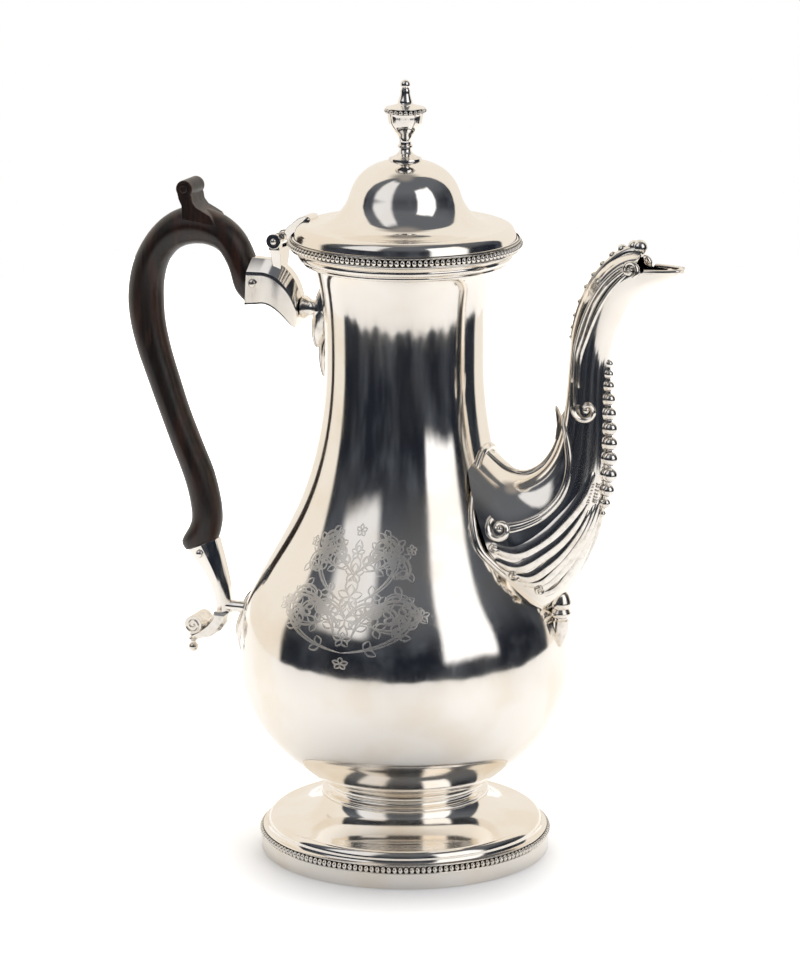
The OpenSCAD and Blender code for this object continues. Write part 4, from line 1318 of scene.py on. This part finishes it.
def makeEngraving():
    bm = bmesh.new()
    for side in (-1, 1):
        for stem in engraving["stems"]:
            spots = stemSpots(*stem, side)
            addStroke(bm, beside(spots, engraving["ribbon"]), engraving["stroke"] * 1.5)
            addStroke(bm, beside(spots, -engraving["ribbon"]), engraving["stroke"])
            for k in range(3, 19, engraving["leafEvery"]):
                (a0, b0), (a1, b1) = spots[k], spots[k + 1]
                heading = math.degrees(math.atan2(b1 - b0, a1 - a0))
                for bend in (1, -1):
                    addLeaf(bm, a0, b0, heading + bend * engraving["leafTurn"], engraving["leaf"])
        for across, up, size in engraving["sprigs"]:
            addFlower(bm, side * across, up, size)
    for up, size in engraving["centre"]:
        addFlower(bm, 0, up, size)
        addLeaf(bm, 0, up, 90, size * 1.7)
    for up, size in engraving["ends"]:
        addFlower(bm, 0, up, size)
    placePiece("engravedScrolls", bm, cutSilver, "pot")


makeEngraving()
print("engraving made")

# the finial's stud, washer and nut keep their own solids with a cast finish
for name in ("finial_stud", "finial_washer", "finial_nut"):
    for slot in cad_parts[name].material_slots:
        slot.material = castSilver


stage = {
    "floor": (0.95, 0.948, 0.945),
    "reach": 0.62,
    "reachBehind": 2.2,
    "cameraTurn": 21,
    "room": (0.014, 0.017, 0.025),
    "roomHigh": (0.13, 0.138, 0.155),
    "roomLit": (0.12, 0.135, 0.16),
    "sweep": (0.93, 0.87, 0.785),
    "ceiling": (0.3, 0.28, 0.26),
    "roomEdges": (-97, 118),
    "glow": (0.8, 0.8, 0.81),
    "glowFrom": (0.03, 0.15),   # metres from the foot's middle
    # each lit panel: edges round from the camera's side, bottom, top, brightness and softness
    "panels": [(-72, -30, 21, 72, 0.85, 4.5), (27, 68, 2, 50, 1.25, 2.5)],
    # soft lights: name, place, size and power
    "lights": [("softTop", (0.1, 0.3, 1.5), 1.6, 17), ("softBack", (-0.5, 1.4, 0.9), 1.2, 8)],
    "lightAim": (0, 0, 0.1),
    # the camera
    "lens": 162.96,
    "sensor": 36,
    "cameraPlace": (0.5924, -1.5487, 0.5466),
    "cameraAim": (-0.00189, -0.00072, 0.1465),
}


def makeFloor():
    material = bpy.data.materials.new("paleFloor")
    shade = Shade(material)
    speckle = shade.noise(shade.place(), 60, 3)
    colour = shade.mixed(shade.limits(speckle, 0.3, 0.7) * 0.03, stage["floor"], (0.86, 0.86, 0.86))
    away = shade.node("ShaderNodeVectorMath", {"operation": "LENGTH"}, {0: shade.place()}, "Value")
    seen = shade.node("ShaderNodeLightPath", output="Is Camera Ray")
    glow = shade.mixed(shade.limits(away, *stage["glowFrom"]) * seen, (0, 0, 0), stage["glow"])
    finish = shade.node("ShaderNodeBsdfPrincipled", {}, {
        "Base Color": colour, "Roughness": 0.55, "Emission Color": glow, "Emission Strength": 1.0})
    shade.node("ShaderNodeOutputMaterial", {}, {"Surface": finish})
    bm = bmesh.new()
    bmesh.ops.create_circle(bm, cap_ends=True, segments=256, radius=stage["reach"])
    for vert in bm.verts:
        around = math.atan2(vert.co.y, vert.co.x)
        vert.co *= 1 + 0.035 * math.sin(9 * around) + 0.025 * math.sin(23 * around + 1)
    behind = [v for v in bm.verts if v.co.y > 0]
    bmesh.ops.scale(bm, verts=behind, vec=(1, stage["reachBehind"], 1))
    bmesh.ops.rotate(bm, verts=bm.verts, cent=(0, 0, 0),
                     matrix=Matrix.Rotation(math.radians(stage["cameraTurn"]), 3, "Z"))
    mesh = bpy.data.meshes.new("floor")
    bm.to_mesh(mesh)
    bm.free()
    floor = bpy.data.objects.new("floor", mesh)
    mesh.materials.append(material)
    bpy.context.scene.collection.objects.link(floor)


def makeWorld():
    # a white sweep behind, and in front a dark room with two lit panels
    world = bpy.data.worlds.new("studio")
    bpy.context.scene.world = world
    shade = Shade(world)
    facing = shade.node("ShaderNodeTexCoord", output="Generated")
    turnedTo = shade.node("ShaderNodeMapping", {}, {
        "Vector": facing, "Rotation": (0, 0, math.radians(90 - stage["cameraTurn"]))})
    parts = shade.tree.nodes.new("ShaderNodeSeparateXYZ")
    shade.tree.links.new(turnedTo.socket, parts.inputs[0])
    x, y, z = (Value(shade, parts.outputs[i]) for i in range(3))
    across = x.work("ARCTAN2", y, x) * (180 / math.pi)
    height = z.work("ARCSINE", z) * (180 / math.pi)

    def between(value, low, high, soft):
        return (shade.limits(value, low - soft, low + soft)
                * (1 - shade.limits(value, high - soft, high + soft)))

    room = between(across, *stage["roomEdges"], 2) * (1 - shade.limits(height, 74, 86))
    colour = shade.mixed(shade.limits(height, 5, 50), stage["room"], stage["roomHigh"])
    clutter = shade.limits(shade.noise(turnedTo, 2.6, 3, 0.55), 0.42, 0.8)
    colour = shade.mixed(clutter * 0.6, colour, stage["roomLit"])
    wobble = shade.noise(turnedTo, 4, 2) * 8 - 4
    for left, right, low, high, glow, soft in stage["panels"]:
        panel = between(across + wobble * 0.3, left, right, soft)
        panel = panel * between(height + wobble, low, high, soft)
        colour = shade.mixed(panel, colour, (glow, glow, glow * 1.02))
    above = shade.mixed(shade.limits(height, 62, 80), stage["sweep"], stage["ceiling"])
    colour = shade.mixed(room, above, colour)
    seen = shade.node("ShaderNodeLightPath", output="Is Camera Ray")
    colour = shade.mixed(seen, colour, (1, 1, 1))
    back = shade.node("ShaderNodeBackground", {}, {"Color": colour, "Strength": 1.0})
    shade.node("ShaderNodeOutputWorld", {}, {"Surface": back})


def makeLights():
    for name, place, size, power in stage["lights"]:
        light = bpy.data.lights.new(name, "AREA")
        light.size = size
        light.energy = power
        lamp = bpy.data.objects.new(name, light)
        lamp.location = place
        aim = Vector(stage["lightAim"]) - Vector(place)
        lamp.rotation_euler = aim.to_track_quat("-Z", "Y").to_euler()
        lamp.visible_glossy = False
        lamp.visible_camera = False
        bpy.context.scene.collection.objects.link(lamp)


def makeCamera():
    camera = bpy.data.cameras.new("camera")
    camera.sensor_fit = "VERTICAL"
    camera.sensor_height = stage["sensor"]
    camera.lens = stage["lens"]
    camera.clip_end = 20
    viewer = bpy.data.objects.new("camera", camera)
    viewer.location = stage["cameraPlace"]
    aim = Vector(stage["cameraAim"]) - viewer.location
    viewer.rotation_euler = aim.to_track_quat("-Z", "Y").to_euler()
    bpy.context.scene.collection.objects.link(viewer)
    bpy.context.scene.camera = viewer


bpy.context.scene.view_settings.view_transform = "Standard"
makeFloor()
makeWorld()
makeLights()
makeCamera()

print("stage made")
